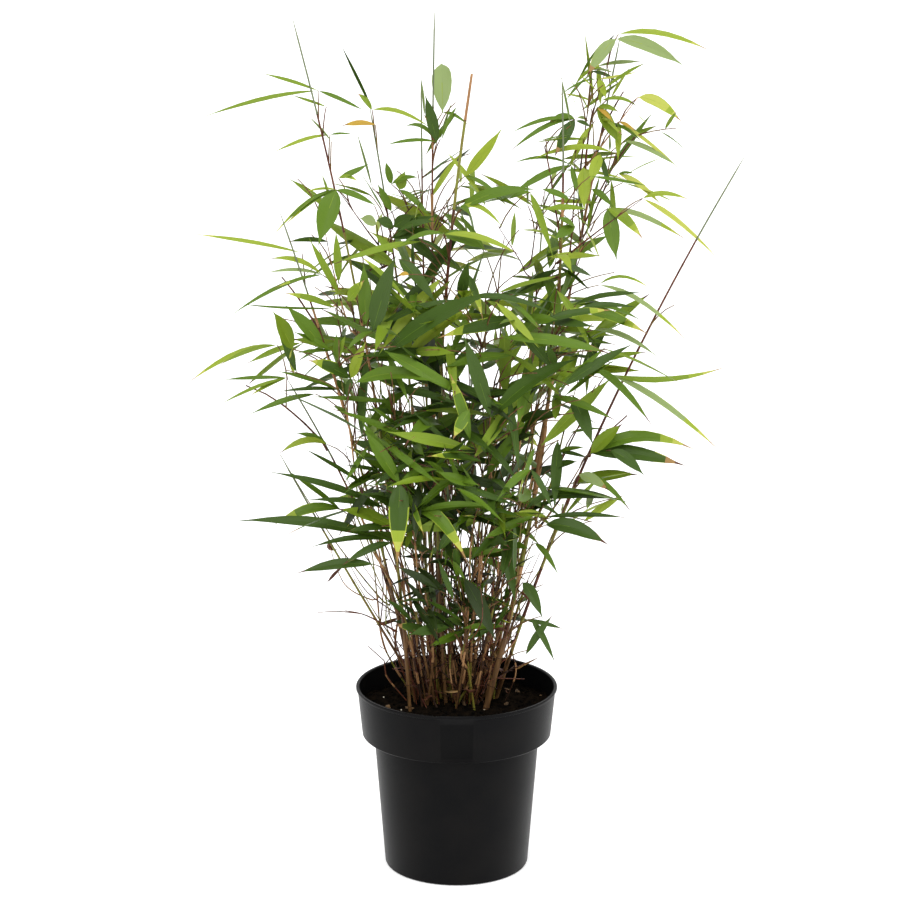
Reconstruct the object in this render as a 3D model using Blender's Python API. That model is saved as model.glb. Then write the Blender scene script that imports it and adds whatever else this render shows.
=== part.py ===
"""Potted clump bamboo, 80 cm tall: a black nursery pot, its compost, the canes and the masses of foliage.

Metres, +Z up. The origin is the middle of the pot's flat underside, and the front of the pot faces -Y.
"""

import math
from collections import namedtuple

import bmesh
import bpy
from mathutils import Matrix, Vector, noise
from mathutils.bvhtree import BVHTree

GAP = 0.0003  # clearance that touching pieces keep

# Pot: a tapered body under a wider collar, with a thin lip round the top
POT_HEIGHT = 0.175
RIM_RADIUS = 0.095
LIP_HEIGHT = 0.0035
LIP_STEP = 0.0015
COLLAR_BOTTOM_Z = 0.128
COLLAR_BOTTOM_RADIUS = 0.089
BODY_TOP_RADIUS = 0.078
BASE_RADIUS = 0.068
WALL = 0.0016
EDGE_ROUND = 0.002
POT_STEPS = 48
PANEL_TOP_Z = 0.1685
PANEL_HALF_ANGLE = math.radians(11.25)
DRAIN_HOLES = 6
DRAIN_RADIUS = 0.004
DRAIN_CIRCLE_RADIUS = 0.050

# Compost: level, a little below the rim
COMPOST_TOP_Z = 0.157

# Canes: each path is a straight line from foot to tip with a sideways bow
CANE_SIDES = 6
CANE_SEGMENTS = 8
CANE_TIP_RADIUS = 0.0007
CLUMP_CENTRE = Vector((-0.002, 0.015))
CLUMP_HALF_SIZE = Vector((0.034, 0.024))
SHORT_CANE_FOOT_RADIUS = 0.0014
SHORT_CANE_REACH = 0.110
SHORT_CANE_TOP_Z = 0.480
SOCKET_DEPTH = 0.008

# Foliage
MASS_ROUGHNESS = 0.55  # how far noise pushes a mass's surface, as a share of its radius
MASS_NOISE_SCALE = 1.7

Cane = namedtuple("Cane", "name foot tip bow foot_radius")
Bough = namedtuple("Bough", "name host height tip radius")
Mass = namedtuple("Mass", "name middle half tilt")

# Long canes: foot on the compost (x, y), tip (x, y, z), sideways bow in X, radius at the foot
LONG_CANES = [
    Cane("cane_left_tall", (-0.044, -0.013), (-0.143, -0.050, 0.800), 0.016, 0.0021),
    Cane("cane_left_second", (-0.023, 0.011), (-0.079, 0.036, 0.714), 0.010, 0.0021),
    Cane("cane_centre", (-0.014, 0.019), (-0.020, 0.010, 0.802), -0.005, 0.0020),
    Cane("cane_centre_back", (-0.018, 0.029), (-0.033, 0.090, 0.736), -0.003, 0.0018),
    Cane("cane_broken", (-0.010, -0.003), (0.013, -0.040, 0.752), -0.017, 0.0021),
    Cane("cane_left_high", (-0.039, 0.004), (-0.156, -0.060, 0.632), 0.009, 0.0019),
    Cane("cane_left_arch", (-0.035, 0.024), (-0.156, 0.010, 0.467), 0.015, 0.0017),
    Cane("cane_left_low", (-0.031, 0.014), (-0.160, -0.040, 0.407), -0.002, 0.0016),
    Cane("cane_right_main", (0.028, -0.013), (0.093, -0.020, 0.747), 0.023, 0.0027),
    Cane("cane_right_tall", (0.031, 0.031), (0.148, 0.040, 0.779), 0.001, 0.0022),
    Cane("cane_right_shoot", (0.038, 0.013), (0.253, -0.050, 0.680), -0.018, 0.0022),
    Cane("cane_right_back", (0.020, 0.024), (0.082, 0.080, 0.632), 0.008, 0.0018),
]

# Short canes fan out round the clump and end in the lower foliage: name and compass angle, 0 at +X
SHORT_CANES = [
    ("cane_short_right", -19),
    ("cane_short_back_right", 62),
    ("cane_short_back", 110),
    ("cane_short_back_left", 138),
    ("cane_short_front_left", 236),
    ("cane_short_front_right", 304),
]

# Boughs: the cane that each one leaves, the height where it does, its tip and its radius
BOUGHS = [
    Bough("bough_left_far", "cane_left_high", 0.520, (-0.196, -0.038, 0.602), 0.0011),
    Bough("bough_left_wing", "cane_left_arch", 0.400, (-0.212, -0.012, 0.470), 0.0011),
    Bough("bough_tower_outer", "cane_right_tall", 0.600, (0.176, 0.000, 0.706), 0.0013),
    Bough("bough_tower_top", "cane_right_tall", 0.690, (0.192, 0.016, 0.777), 0.0011),
    Bough("bough_tower_inner", "cane_right_main", 0.590, (0.074, 0.004, 0.700), 0.0012),
    Bough("bough_right_wing", "cane_right_shoot", 0.400, (0.196, -0.034, 0.462), 0.0012),
]

# Foliage: middle (x, y, z), half size along each axis, and tilt in degrees from +X up towards +Z
MASSES = [
    Mass("leaves_left_tip", (-0.167, -0.045, 0.735), (0.058, 0.025, 0.020), 0),
    Mass("leaves_left_second", (-0.076, 0.034, 0.716), (0.040, 0.028, 0.020), 10),
    Mass("leaves_centre_tip", (-0.024, 0.012, 0.708), (0.034, 0.036, 0.046), 0),
    Mass("leaves_left_shoulder", (-0.122, -0.035, 0.630), (0.044, 0.038, 0.036), 0),
    Mass("leaves_crown_left", (-0.060, 0.005, 0.622), (0.046, 0.052, 0.046), 0),
    Mass("leaves_crown_centre", (0.019, 0.000, 0.616), (0.046, 0.052, 0.048), 0),
    Mass("leaves_left_far", (-0.192, -0.038, 0.600), (0.045, 0.018, 0.012), 8),
    Mass("leaves_left_high", (-0.142, -0.040, 0.556), (0.056, 0.042, 0.033), 0),
    Mass("leaves_tower_tip", (0.184, 0.020, 0.774), (0.045, 0.025, 0.018), 8),
    Mass("leaves_tower", (0.130, 0.030, 0.728), (0.025, 0.034, 0.048), 0),
    Mass("leaves_tower_inner", (0.078, 0.000, 0.686), (0.041, 0.034, 0.031), 0),
    Mass("leaves_tower_outer", (0.173, -0.002, 0.698), (0.035, 0.032, 0.034), 0),
    Mass("leaves_right_shoulder", (0.122, 0.020, 0.641), (0.037, 0.050, 0.048), 0),
    Mass("leaves_right_long", (0.192, -0.030, 0.616), (0.060, 0.024, 0.020), -38),
    Mass("leaves_crown_right", (0.102, -0.015, 0.573), (0.058, 0.058, 0.040), 0),
    Mass("leaves_left_wing", (-0.196, -0.015, 0.470), (0.049, 0.034, 0.030), 12),
    Mass("leaves_left_middle", (-0.122, -0.045, 0.492), (0.046, 0.052, 0.044), 0),
    Mass("leaves_heart_left", (-0.057, -0.065, 0.528), (0.047, 0.056, 0.064), 0),
    Mass("leaves_heart_centre", (0.018, -0.058, 0.516), (0.045, 0.060, 0.064), 0),
    Mass("leaves_heart_right", (0.090, -0.058, 0.492), (0.044, 0.056, 0.060), 0),
    Mass("leaves_right_high", (0.168, -0.035, 0.545), (0.046, 0.036, 0.030), 15),
    Mass("leaves_right_wing", (0.184, -0.035, 0.466), (0.056, 0.038, 0.036), 12),
    Mass("leaves_right_fan", (0.160, -0.030, 0.402), (0.054, 0.036, 0.026), -4),
    Mass("leaves_left_skirt", (-0.125, -0.005, 0.385), (0.056, 0.042, 0.034), 10),
    Mass("leaves_left_hem", (-0.130, -0.035, 0.330), (0.068, 0.034, 0.030), 8),
    Mass("leaves_front_left", (-0.046, -0.058, 0.394), (0.044, 0.056, 0.064), 0),
    Mass("leaves_front_right", (0.024, -0.054, 0.382), (0.042, 0.056, 0.062), 0),
    Mass("leaves_right_skirt", (0.112, -0.025, 0.356), (0.050, 0.040, 0.032), 0),
    Mass("leaves_right_hem", (0.076, -0.012, 0.264), (0.017, 0.022, 0.048), 10),
    Mass("leaves_front_hem", (-0.002, -0.030, 0.270), (0.046, 0.036, 0.030), 0),
    Mass("leaves_back_high", (0.000, 0.085, 0.612), (0.070, 0.046, 0.054), 0),
    Mass("leaves_back_left", (-0.078, 0.088, 0.500), (0.066, 0.056, 0.060), 0),
    Mass("leaves_back_right", (0.074, 0.090, 0.494), (0.066, 0.056, 0.062), 0),
    Mass("leaves_back_low", (-0.004, 0.082, 0.382), (0.080, 0.052, 0.058), 0),
]


def clear_scene():
    for old in list(bpy.data.objects):
        bpy.data.objects.remove(old, do_unlink=True)


def make_material(name, colour, roughness):
    material = bpy.data.materials.new(name)
    material.use_nodes = True
    shader = material.node_tree.nodes["Principled BSDF"]
    shader.inputs["Base Color"].default_value = (*colour, 1.0)
    shader.inputs["Roughness"].default_value = roughness
    shader.inputs["Metallic"].default_value = 0.0
    return material


def add_object(name, bm, colour, roughness):
    """Turns the bmesh into a named object with a material of its own."""
    bmesh.ops.recalc_face_normals(bm, faces=bm.faces)
    mesh = bpy.data.meshes.new(name)
    bm.to_mesh(mesh)
    bm.free()
    mesh.shade_smooth()
    mesh.set_sharp_from_angle(angle=math.radians(35))
    piece = bpy.data.objects.new(name, mesh)
    piece.data.materials.append(make_material(name, colour, roughness))
    bpy.context.scene.collection.objects.link(piece)
    return piece


def hide_cutter(cutter):
    cutter.hide_render = True
    cutter.display_type = "WIRE"


def cut(piece, cutters):
    """Gives the piece one live Boolean for each cutter."""
    for cutter in cutters:
        modifier = piece.modifiers.new("cut " + cutter.name, "BOOLEAN")
        modifier.operation = "DIFFERENCE"
        modifier.solver = "EXACT"
        modifier.object = cutter


def keep_largest_body(bm):
    """Deletes the slivers that a cut leaves beside the main body."""
    bodies = []
    left = set(bm.faces)
    while left:
        body = {left.pop()}
        edge_of_body = list(body)
        while edge_of_body:
            face = edge_of_body.pop()
            linked = {other for edge in face.edges for other in edge.link_faces} & left
            left -= linked
            body |= linked
            edge_of_body.extend(linked)
        bodies.append(body)
    bodies.sort(key=lambda body: sum(face.calc_area() for face in body))
    slivers = [face for body in bodies[:-1] for face in body]
    bmesh.ops.delete(bm, geom=slivers, context="FACES")


def apply_cuts(piece):
    """Makes the piece's Booleans part of its mesh and keeps the largest body."""
    graph = bpy.context.evaluated_depsgraph_get()
    bm = bmesh.new()
    bm.from_object(piece, graph)
    keep_largest_body(bm)
    piece.modifiers.clear()
    bm.to_mesh(piece.data)
    bm.free()


# Pot and compost


def collar_radius(z):
    share = (z - COLLAR_BOTTOM_Z) / (POT_HEIGHT - LIP_HEIGHT - COLLAR_BOTTOM_Z)
    return COLLAR_BOTTOM_RADIUS + (RIM_RADIUS - LIP_STEP - COLLAR_BOTTOM_RADIUS) * share


def lathe(outline):
    """Spins an outline of (radius, z) points, which starts and ends on the Z axis, into a closed body."""
    bm = bmesh.new()
    # Starting half a step off -Y puts three whole faces inside the panel's angle.
    start = -math.pi / 2 + math.pi / POT_STEPS
    points = [bm.verts.new((r * math.cos(start), r * math.sin(start), z)) for r, z in outline]
    edges = [bm.edges.new(pair) for pair in zip(points, points[1:])]
    bmesh.ops.spin(
        bm,
        geom=points + edges,
        cent=(0, 0, 0),
        axis=(0, 0, 1),
        angle=2 * math.pi,
        steps=POT_STEPS,
        use_merge=True,
    )
    bmesh.ops.remove_doubles(bm, verts=bm.verts, dist=1e-6)
    return bm


def flatten_panel(bm):
    """Moves the collar's front columns back to the chord across the panel. The wall keeps its thickness."""
    for point in bm.verts:
        angle = math.atan2(point.co.x, -point.co.y)
        radius = math.hypot(point.co.x, point.co.y)
        at_panel_height = COLLAR_BOTTOM_Z - GAP < point.co.z < PANEL_TOP_Z + GAP
        on_collar = at_panel_height and radius > BODY_TOP_RADIUS + GAP
        if on_collar and abs(angle) < PANEL_HALF_ANGLE - 0.01:
            point.co.y += radius * (math.cos(angle) - math.cos(PANEL_HALF_ANGLE))


def build_pot():
    lip_z = POT_HEIGHT - LIP_HEIGHT
    inner_ledge_z = COLLAR_BOTTOM_Z + WALL
    outline = [
        (0, 0),
        (BASE_RADIUS - EDGE_ROUND, 0),
        (BASE_RADIUS, EDGE_ROUND),
        (BODY_TOP_RADIUS, COLLAR_BOTTOM_Z),
        (COLLAR_BOTTOM_RADIUS - EDGE_ROUND / 2, COLLAR_BOTTOM_Z),
        (COLLAR_BOTTOM_RADIUS, COLLAR_BOTTOM_Z + EDGE_ROUND / 2),
        (collar_radius(PANEL_TOP_Z), PANEL_TOP_Z),
        (collar_radius(lip_z), lip_z),
        (RIM_RADIUS, lip_z + LIP_STEP / 2),
        (RIM_RADIUS - LIP_STEP / 4, POT_HEIGHT),
        (RIM_RADIUS - LIP_STEP - WALL / 2, POT_HEIGHT),
        (collar_radius(lip_z) - WALL, lip_z),
        (collar_radius(PANEL_TOP_Z) - WALL, PANEL_TOP_Z),
        (COLLAR_BOTTOM_RADIUS - WALL, inner_ledge_z),
        (BODY_TOP_RADIUS - WALL, inner_ledge_z),
        (BASE_RADIUS - WALL, WALL),
        (0, WALL),
    ]
    bm = lathe(outline)
    flatten_panel(bm)
    pot = add_object("pot", bm, (0.012, 0.012, 0.013), 0.38)
    holes = bmesh.new()
    for number in range(DRAIN_HOLES):
        turn = Matrix.Rotation(2 * math.pi * number / DRAIN_HOLES, 4, "Z")
        place = turn @ Matrix.Translation((DRAIN_CIRCLE_RADIUS, 0, 0))
        bmesh.ops.create_cone(
            holes,
            cap_ends=True,
            segments=10,
            radius1=DRAIN_RADIUS,
            radius2=DRAIN_RADIUS,
            depth=6 * WALL,
            matrix=place,
        )
    cutter = add_object("drain_hole_cutter", holes, (0.5, 0.5, 0.5), 0.5)
    hide_cutter(cutter)
    cut(pot, [cutter])


def build_compost():
    inner_ledge_z = COLLAR_BOTTOM_Z + WALL + GAP
    collar_foot_radius = COLLAR_BOTTOM_RADIUS - WALL - GAP
    collar_rise = (COMPOST_TOP_Z - inner_ledge_z) / (PANEL_TOP_Z - inner_ledge_z)
    top_radius = collar_foot_radius + (collar_radius(PANEL_TOP_Z) - COLLAR_BOTTOM_RADIUS) * collar_rise
    outline = [
        (0, WALL + GAP),
        (BASE_RADIUS - WALL - GAP, WALL + GAP),
        (BODY_TOP_RADIUS - WALL - GAP, inner_ledge_z),
        (collar_foot_radius, inner_ledge_z),
        (top_radius - GAP, COMPOST_TOP_Z),
        (0, COMPOST_TOP_Z),
    ]
    bm = lathe(outline)
    flatten_panel(bm)
    add_object("compost", bm, (0.045, 0.026, 0.016), 0.95)


# Canes and boughs


def cane_point(cane, share):
    """The point at this share of the way from the cane's foot to its tip."""
    foot = Vector((*cane.foot, COMPOST_TOP_Z + GAP))
    point = foot.lerp(Vector(cane.tip), share)
    point.x += 4 * cane.bow * share * (1 - share)
    return point


def cane_share_at(cane, height):
    return (height - COMPOST_TOP_Z) / (cane.tip[2] - COMPOST_TOP_Z)


def cane_radius(cane, share):
    return cane.foot_radius + (CANE_TIP_RADIUS - cane.foot_radius) * share


def tube(points, radii, flat_foot):
    """A closed tapering tube of CANE_SIDES sides. A flat foot is cut level."""
    bm = bmesh.new()
    rings = []
    for number, (point, radius) in enumerate(zip(points, radii)):
        before = points[max(number - 1, 0)]
        after = points[min(number + 1, len(points) - 1)]
        along = (after - before).normalized()
        side = along.cross(Vector((0, 1, 0))).normalized()
        other = along.cross(side)
        ring = []
        for corner in range(CANE_SIDES):
            angle = 2 * math.pi * corner / CANE_SIDES
            out = side * math.cos(angle) + other * math.sin(angle)
            if flat_foot and number == 0:
                out -= along * (out.z / along.z)
            ring.append(bm.verts.new(point + out * radius))
        rings.append(ring)
    for lower, upper in zip(rings, rings[1:]):
        for corner in range(CANE_SIDES):
            following = (corner + 1) % CANE_SIDES
            bm.faces.new((lower[corner], lower[following], upper[following], upper[corner]))
    bm.faces.new(rings[0])
    bm.faces.new(rings[-1])
    return bm


def build_sleeve(name, points, radii):
    """A hidden cutter round a cane: its own shape, fatter by the clearance and a little longer."""
    reach = 3 * GAP
    points = list(points)
    points[0] = points[0] + (points[0] - points[1]).normalized() * reach
    points[-1] = points[-1] + (points[-1] - points[-2]).normalized() * reach
    flat_share = math.cos(math.pi / CANE_SIDES)  # a sleeve's flat sides lie this much nearer than its corners
    fat = [radius + 1.3 * GAP / flat_share for radius in radii]
    sleeve = add_object(name + "_sleeve", tube(points, fat, flat_foot=False), (0.5, 0.5, 0.5), 0.5)
    hide_cutter(sleeve)
    return sleeve


def short_canes():
    """Straight canes that fan out from one point below the clump, so that no two can cross."""
    canes = []
    for number, (name, angle_degrees) in enumerate(SHORT_CANES):
        angle = math.radians(angle_degrees)
        out = Vector((math.cos(angle), math.sin(angle)))
        foot = CLUMP_CENTRE + Vector((out.x * CLUMP_HALF_SIZE.x, out.y * CLUMP_HALF_SIZE.y))
        reach = SHORT_CANE_REACH * (1 + 0.12 * math.sin(2.4 * number))
        tip = CLUMP_CENTRE + out * (reach + CLUMP_HALF_SIZE.y)
        canes.append(Cane(name, tuple(foot), (tip.x, tip.y, SHORT_CANE_TOP_Z), 0.0, SHORT_CANE_FOOT_RADIUS))
    return canes


def share_where_it_ends(cane, mass_trees):
    """The share of a short cane's path where it is a socket's depth inside the first mass it meets."""
    start = cane_point(cane, 0)
    along = cane_point(cane, 1) - start
    hits = [tree.ray_cast(start, along.normalized(), along.length)[3] for tree in mass_trees]
    met = [distance for distance in hits if distance is not None]
    return min((min(met) + SOCKET_DEPTH) / along.length, 1.0) if met else 1.0


def build_cane(cane, last_share=1.0):
    shares = [last_share * step / CANE_SEGMENTS for step in range(CANE_SEGMENTS + 1)]
    points = [cane_point(cane, share) for share in shares]
    radii = [cane_radius(cane, share) for share in shares]
    add_object(cane.name, tube(points, radii, flat_foot=True), (0.20, 0.19, 0.07), 0.45)
    return build_sleeve(cane.name, points, radii)


def build_bough(bough, hosts, sleeves):
    """A side branch that leaves its cane steeply and bends out, with a saddle joint against the cane."""
    host = hosts[bough.host]
    start = cane_point(host, cane_share_at(host, bough.height))
    tip = Vector(bough.tip)
    steps = CANE_SEGMENTS // 2
    points = []
    for step in range(steps + 1):
        share = step / steps
        point = start.lerp(tip, share)
        point.z += 0.12 * (tip - start).length * 4 * share * (1 - share)
        points.append(point)
    radii = [bough.radius + (CANE_TIP_RADIUS - bough.radius) * step / steps for step in range(steps + 1)]
    piece = add_object(bough.name, tube(points, radii, flat_foot=False), (0.20, 0.19, 0.07), 0.45)
    cut(piece, [sleeves[bough.host]])
    apply_cuts(piece)
    return build_sleeve(bough.name, points, radii)


# Foliage


def ellipsoid_matrix(mass):
    """Squared half sizes turned by the mass's tilt: the ellipsoid's shape matrix."""
    turn = Matrix.Rotation(-math.radians(mass.tilt), 3, "Y")
    squares = Matrix.Diagonal(Vector([half * half for half in mass.half]))
    return turn @ squares @ turn.transposed()


def foliage_blob(mass, number):
    """An uneven closed ball, pushed in and out by noise and fitted to the mass's half sizes."""
    bm = bmesh.new()
    bmesh.ops.create_icosphere(bm, subdivisions=2, radius=1.0)
    place_in_noise = Vector((7.1 * number, 3.7, 1.9))
    for point in bm.verts:
        bulge = noise.noise(point.co * MASS_NOISE_SCALE + place_in_noise)
        point.co *= 1 + MASS_ROUGHNESS * bulge
    for axis in range(3):
        low = min(point.co[axis] for point in bm.verts)
        high = max(point.co[axis] for point in bm.verts)
        for point in bm.verts:
            point.co[axis] = (2 * (point.co[axis] - low) / (high - low) - 1) * mass.half[axis]
    turn = Matrix.Rotation(-math.radians(mass.tilt), 4, "Y")
    bmesh.ops.transform(bm, verts=bm.verts, matrix=Matrix.Translation(mass.middle) @ turn)
    return bm


def part_neighbours(bm, mass, others):
    """Cuts the mass back to a plane between it and each neighbour that it would overlap."""
    middle = Vector(mass.middle)
    shape = ellipsoid_matrix(mass)
    for other in others:
        apart = Vector(other.middle) - middle
        other_shape = ellipsoid_matrix(other)
        reach = apart.length / math.sqrt(apart.dot(shape.inverted() @ apart))
        other_reach = apart.length / math.sqrt(apart.dot(other_shape.inverted() @ apart))
        normal = ((shape + other_shape).inverted() @ apart).normalized()
        if 1.25 * (reach + other_reach) < apart.length:
            continue
        on_plane = middle + apart * reach / (reach + other_reach)
        bmesh.ops.bisect_plane(
            bm,
            geom=bm.verts[:] + bm.edges[:] + bm.faces[:],
            dist=1e-6,
            plane_co=on_plane - normal * GAP,
            plane_no=normal,
            clear_outer=True,
        )
        open_edges = [edge for edge in bm.edges if edge.is_boundary]
        if open_edges:
            bmesh.ops.holes_fill(bm, edges=open_edges)


def build_foliage():
    """The uncut masses and, for tests of what enters them, a search tree of each."""
    pieces = {}
    trees = {}
    for number, mass in enumerate(MASSES):
        bm = foliage_blob(mass, number)
        part_neighbours(bm, mass, [other for other in MASSES if other is not mass])
        bmesh.ops.triangulate(bm, faces=bm.faces)
        trees[mass.name] = BVHTree.FromBMesh(bm)
        pieces[mass.name] = add_object(mass.name, bm, (0.10, 0.20, 0.035), 0.5)
    return pieces, trees


def cut_masses_round_canes(pieces, trees, sleeves):
    for name, piece in pieces.items():
        entering = []
        for sleeve in sleeves:
            bm = bmesh.new()
            bm.from_mesh(sleeve.data)
            if BVHTree.FromBMesh(bm).overlap(trees[name]):
                entering.append(sleeve)
            bm.free()
        cut(piece, entering)
        apply_cuts(piece)


clear_scene()
build_pot()
build_compost()
masses, mass_trees = build_foliage()
hosts = {cane.name: cane for cane in LONG_CANES}
sleeves = {cane.name: build_cane(cane) for cane in LONG_CANES}
for short_cane in short_canes():
    last_share = share_where_it_ends(short_cane, list(mass_trees.values()))
    sleeves[short_cane.name] = build_cane(short_cane, last_share)
for bough in BOUGHS:
    sleeves[bough.name] = build_bough(bough, hosts, sleeves)
cut_masses_round_canes(masses, mass_trees, list(sleeves.values()))
for sleeve in sleeves.values():
    bpy.data.objects.remove(sleeve, do_unlink=True)
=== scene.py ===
"""Looks of a potted clump bamboo, 80 cm tall, in a black nursery pot. Metres, +Z up, front towards -Y."""

import math
import random
from collections import namedtuple

import bmesh
import bpy
from mathutils import Matrix, Vector, noise
from mathutils.bvhtree import BVHTree
from mathutils.geometry import interpolate_bezier
from mathutils.kdtree import KDTree


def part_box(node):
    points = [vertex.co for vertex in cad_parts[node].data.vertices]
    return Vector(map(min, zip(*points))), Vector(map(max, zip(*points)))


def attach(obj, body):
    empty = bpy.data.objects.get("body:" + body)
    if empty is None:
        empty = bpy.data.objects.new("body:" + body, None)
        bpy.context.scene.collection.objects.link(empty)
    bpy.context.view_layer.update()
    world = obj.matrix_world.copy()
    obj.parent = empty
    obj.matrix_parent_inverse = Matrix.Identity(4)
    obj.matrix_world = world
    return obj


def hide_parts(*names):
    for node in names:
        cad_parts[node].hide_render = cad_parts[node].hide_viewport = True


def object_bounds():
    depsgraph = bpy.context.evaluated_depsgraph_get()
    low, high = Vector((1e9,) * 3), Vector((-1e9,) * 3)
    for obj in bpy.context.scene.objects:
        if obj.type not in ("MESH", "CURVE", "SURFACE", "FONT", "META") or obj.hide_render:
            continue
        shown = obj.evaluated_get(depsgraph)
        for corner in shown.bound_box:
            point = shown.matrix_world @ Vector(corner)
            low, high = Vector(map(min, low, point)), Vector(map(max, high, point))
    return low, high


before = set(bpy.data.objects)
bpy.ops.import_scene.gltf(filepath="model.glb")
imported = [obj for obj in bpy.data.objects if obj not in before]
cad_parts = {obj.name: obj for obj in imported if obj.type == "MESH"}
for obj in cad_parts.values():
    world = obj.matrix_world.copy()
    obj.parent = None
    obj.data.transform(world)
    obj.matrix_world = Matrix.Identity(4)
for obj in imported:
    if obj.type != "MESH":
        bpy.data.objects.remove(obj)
cad_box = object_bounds()

# ------------------------------
# The studio. The plant stands on a seamless white floor, under a white sky, with one broad light high in
# front on the left and a weaker one on the right. A long lens a little above the plant looks down at it.
CAMERA_PLACE = (-0.0062, -2.45, 0.996)
CAMERA_TILT_DOWN = math.radians(13.62)
LENS_MM = 109.24
FLOOR_HALF_SIDE = 14.0
FLOOR_DROP = 0.0002
FLOOR_COLOUR = (250, 250, 250)
FLOOR_GLOW = 0.22
SKY_LIGHT = 1.0
SKY_BEHIND = 1.15
SKY_IN_FRONT = 0.35
SKY_EDGES = (-0.9, 0.3)  # where the sky starts and stops growing brighter, from front to back
SKY_TURN = math.radians(22)  # how far the bright half of the sky is turned to the right
SUNS = (  # name, strength, width of the light in degrees, tilt from straight down, turn about Z
    ("key_light", 1.9, 50, 38, -20),
    ("side_light", 0.9, 50, 58, 65),
)


def paint(red, green, blue):
    """The linear colour of a paint mixed by its display values, 0 to 255 each."""
    shares = [value / 255 for value in (red, green, blue)]
    return [s / 12.92 if s < 0.04045 else ((s + 0.055) / 1.055) ** 2.4 for s in shares] + [1.0]


def new_finish(name, colour, roughness, shine=0.5):
    """A plain material. A section that wants more wires nodes to the shader that comes back with it."""
    finish = bpy.data.materials.new(name)
    finish.use_nodes = True
    shader = finish.node_tree.nodes["Principled BSDF"]
    shader.inputs["Base Color"].default_value = paint(*colour)
    shader.inputs["Roughness"].default_value = roughness
    shader.inputs["Specular IOR Level"].default_value = shine
    return finish, shader


def new_object(name, bm, finishes):
    """Turns a finished bmesh into an object at the origin, its finishes in the order of their slots."""
    mesh = bpy.data.meshes.new(name)
    bm.to_mesh(mesh)
    bm.free()
    for finish in finishes:
        mesh.materials.append(finish)
    piece = bpy.data.objects.new(name, mesh)
    bpy.context.scene.collection.objects.link(piece)
    return piece


def add_node(tree, kind, **values):
    """A new shader node with values on its sockets. A socket's name is written with _ for a space."""
    node = tree.nodes.new("ShaderNode" + kind)
    for socket, value in values.items():
        node.inputs[socket.replace("_", " ")].default_value = value
    return node


def wire(tree, *wires):
    """Joins nodes. Each wire runs from one node's output to another's input."""
    for giver, output, taker, entry in wires:
        tree.links.new(giver.outputs[output], taker.inputs[entry])


floor_mesh = bmesh.new()
floor_place = Matrix.Translation((0, 0, -FLOOR_DROP))
bmesh.ops.create_grid(floor_mesh, x_segments=1, y_segments=1, size=FLOOR_HALF_SIDE, matrix=floor_place)
floor_finish, floor_shader = new_finish("white_floor", FLOOR_COLOUR, 0.9)
floor_shader.inputs["Emission Color"].default_value = (1, 1, 1, 1)
floor_shader.inputs["Emission Strength"].default_value = FLOOR_GLOW
new_object("studio_floor", floor_mesh, [floor_finish])

sky = bpy.data.worlds.new("white_sky")
sky.use_nodes = True
sky_tree = sky.node_tree
sky_shader = sky_tree.nodes["Background"]
sky_shader.inputs["Color"].default_value = (1, 1, 1, 1)
direction = add_node(sky_tree, "TexCoord")
turned_sky = add_node(sky_tree, "Mapping", Rotation=(0, 0, SKY_TURN))
parts = add_node(sky_tree, "SeparateXYZ")
brightness = {"To_Min": SKY_IN_FRONT, "To_Max": SKY_BEHIND}
front_to_back = add_node(sky_tree, "MapRange", From_Min=SKY_EDGES[0], From_Max=SKY_EDGES[1], **brightness)
seen = add_node(sky_tree, "LightPath")
strength_mix = add_node(sky_tree, "Mix", B=SKY_LIGHT)
wire(
    sky_tree,
    (direction, "Generated", turned_sky, "Vector"),
    (turned_sky, "Vector", parts, "Vector"),
    (parts, "Y", front_to_back, "Value"),
    (seen, "Is Camera Ray", strength_mix, "Factor"),
    (front_to_back, "Result", strength_mix, "A"),
    (strength_mix, "Result", sky_shader, "Strength"),
)
bpy.context.scene.world = sky

for light_name, strength, light_width, light_tilt, light_turn in SUNS:
    light = bpy.data.lights.new(light_name, "SUN")
    light.energy = strength
    light.angle = math.radians(light_width)
    lamp = bpy.data.objects.new(light_name, light)
    lamp.rotation_euler = (math.radians(light_tilt), 0, math.radians(light_turn))
    bpy.context.scene.collection.objects.link(lamp)

camera = bpy.data.objects.new("camera", bpy.data.cameras.new("camera"))
camera.data.lens = LENS_MM
camera.location = CAMERA_PLACE
camera.rotation_euler = (math.pi / 2 - CAMERA_TILT_DOWN, 0, 0)
bpy.context.scene.collection.objects.link(camera)
bpy.context.scene.camera = camera
bpy.context.scene.view_settings.view_transform = "Standard"

# ------------------------------
# The pot. One thin shell of black polypropylene, moulded with a wide collar, a bare, polished flat panel on
# the front of the collar, a tab over it on the lip, and six drain holes. Its outline is spun, the panel
# pushed back and inset, and the holes drilled. The panel's plastic is a darker copy of the pot's black,
# which is painted shade for the recess.
RIM_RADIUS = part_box("pot")[1].x
POT_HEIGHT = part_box("pot")[1].z
LIP_HEIGHT = 0.0035
LIP_STEP = 0.0015
COLLAR_BOTTOM_Z = 0.128
COLLAR_BOTTOM_RADIUS = 0.089
BODY_TOP_RADIUS = 0.078
BASE_RADIUS = 0.068
WALL = 0.0016
EDGE_ROUND = 0.002
POT_STEPS = 160
PANEL_TOP_Z = 0.1685
PANEL_HALF_ANGLE = math.radians(11.25)
PANEL_EDGE = math.radians(0.57)  # less than a step of the spin, so the panel's own edges stay on the round
PANEL_BORDER = 0.0026
PANEL_DEPTH = 0.0012
TAB_HALF_ANGLE = math.radians(9.5)
TAB_RISE = 0.0009
SHARPEST_ROUND = math.radians(32)
DRAIN_HOLES = 6
DRAIN_RADIUS = 0.004
DRAIN_CIRCLE_RADIUS = 0.050


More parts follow.
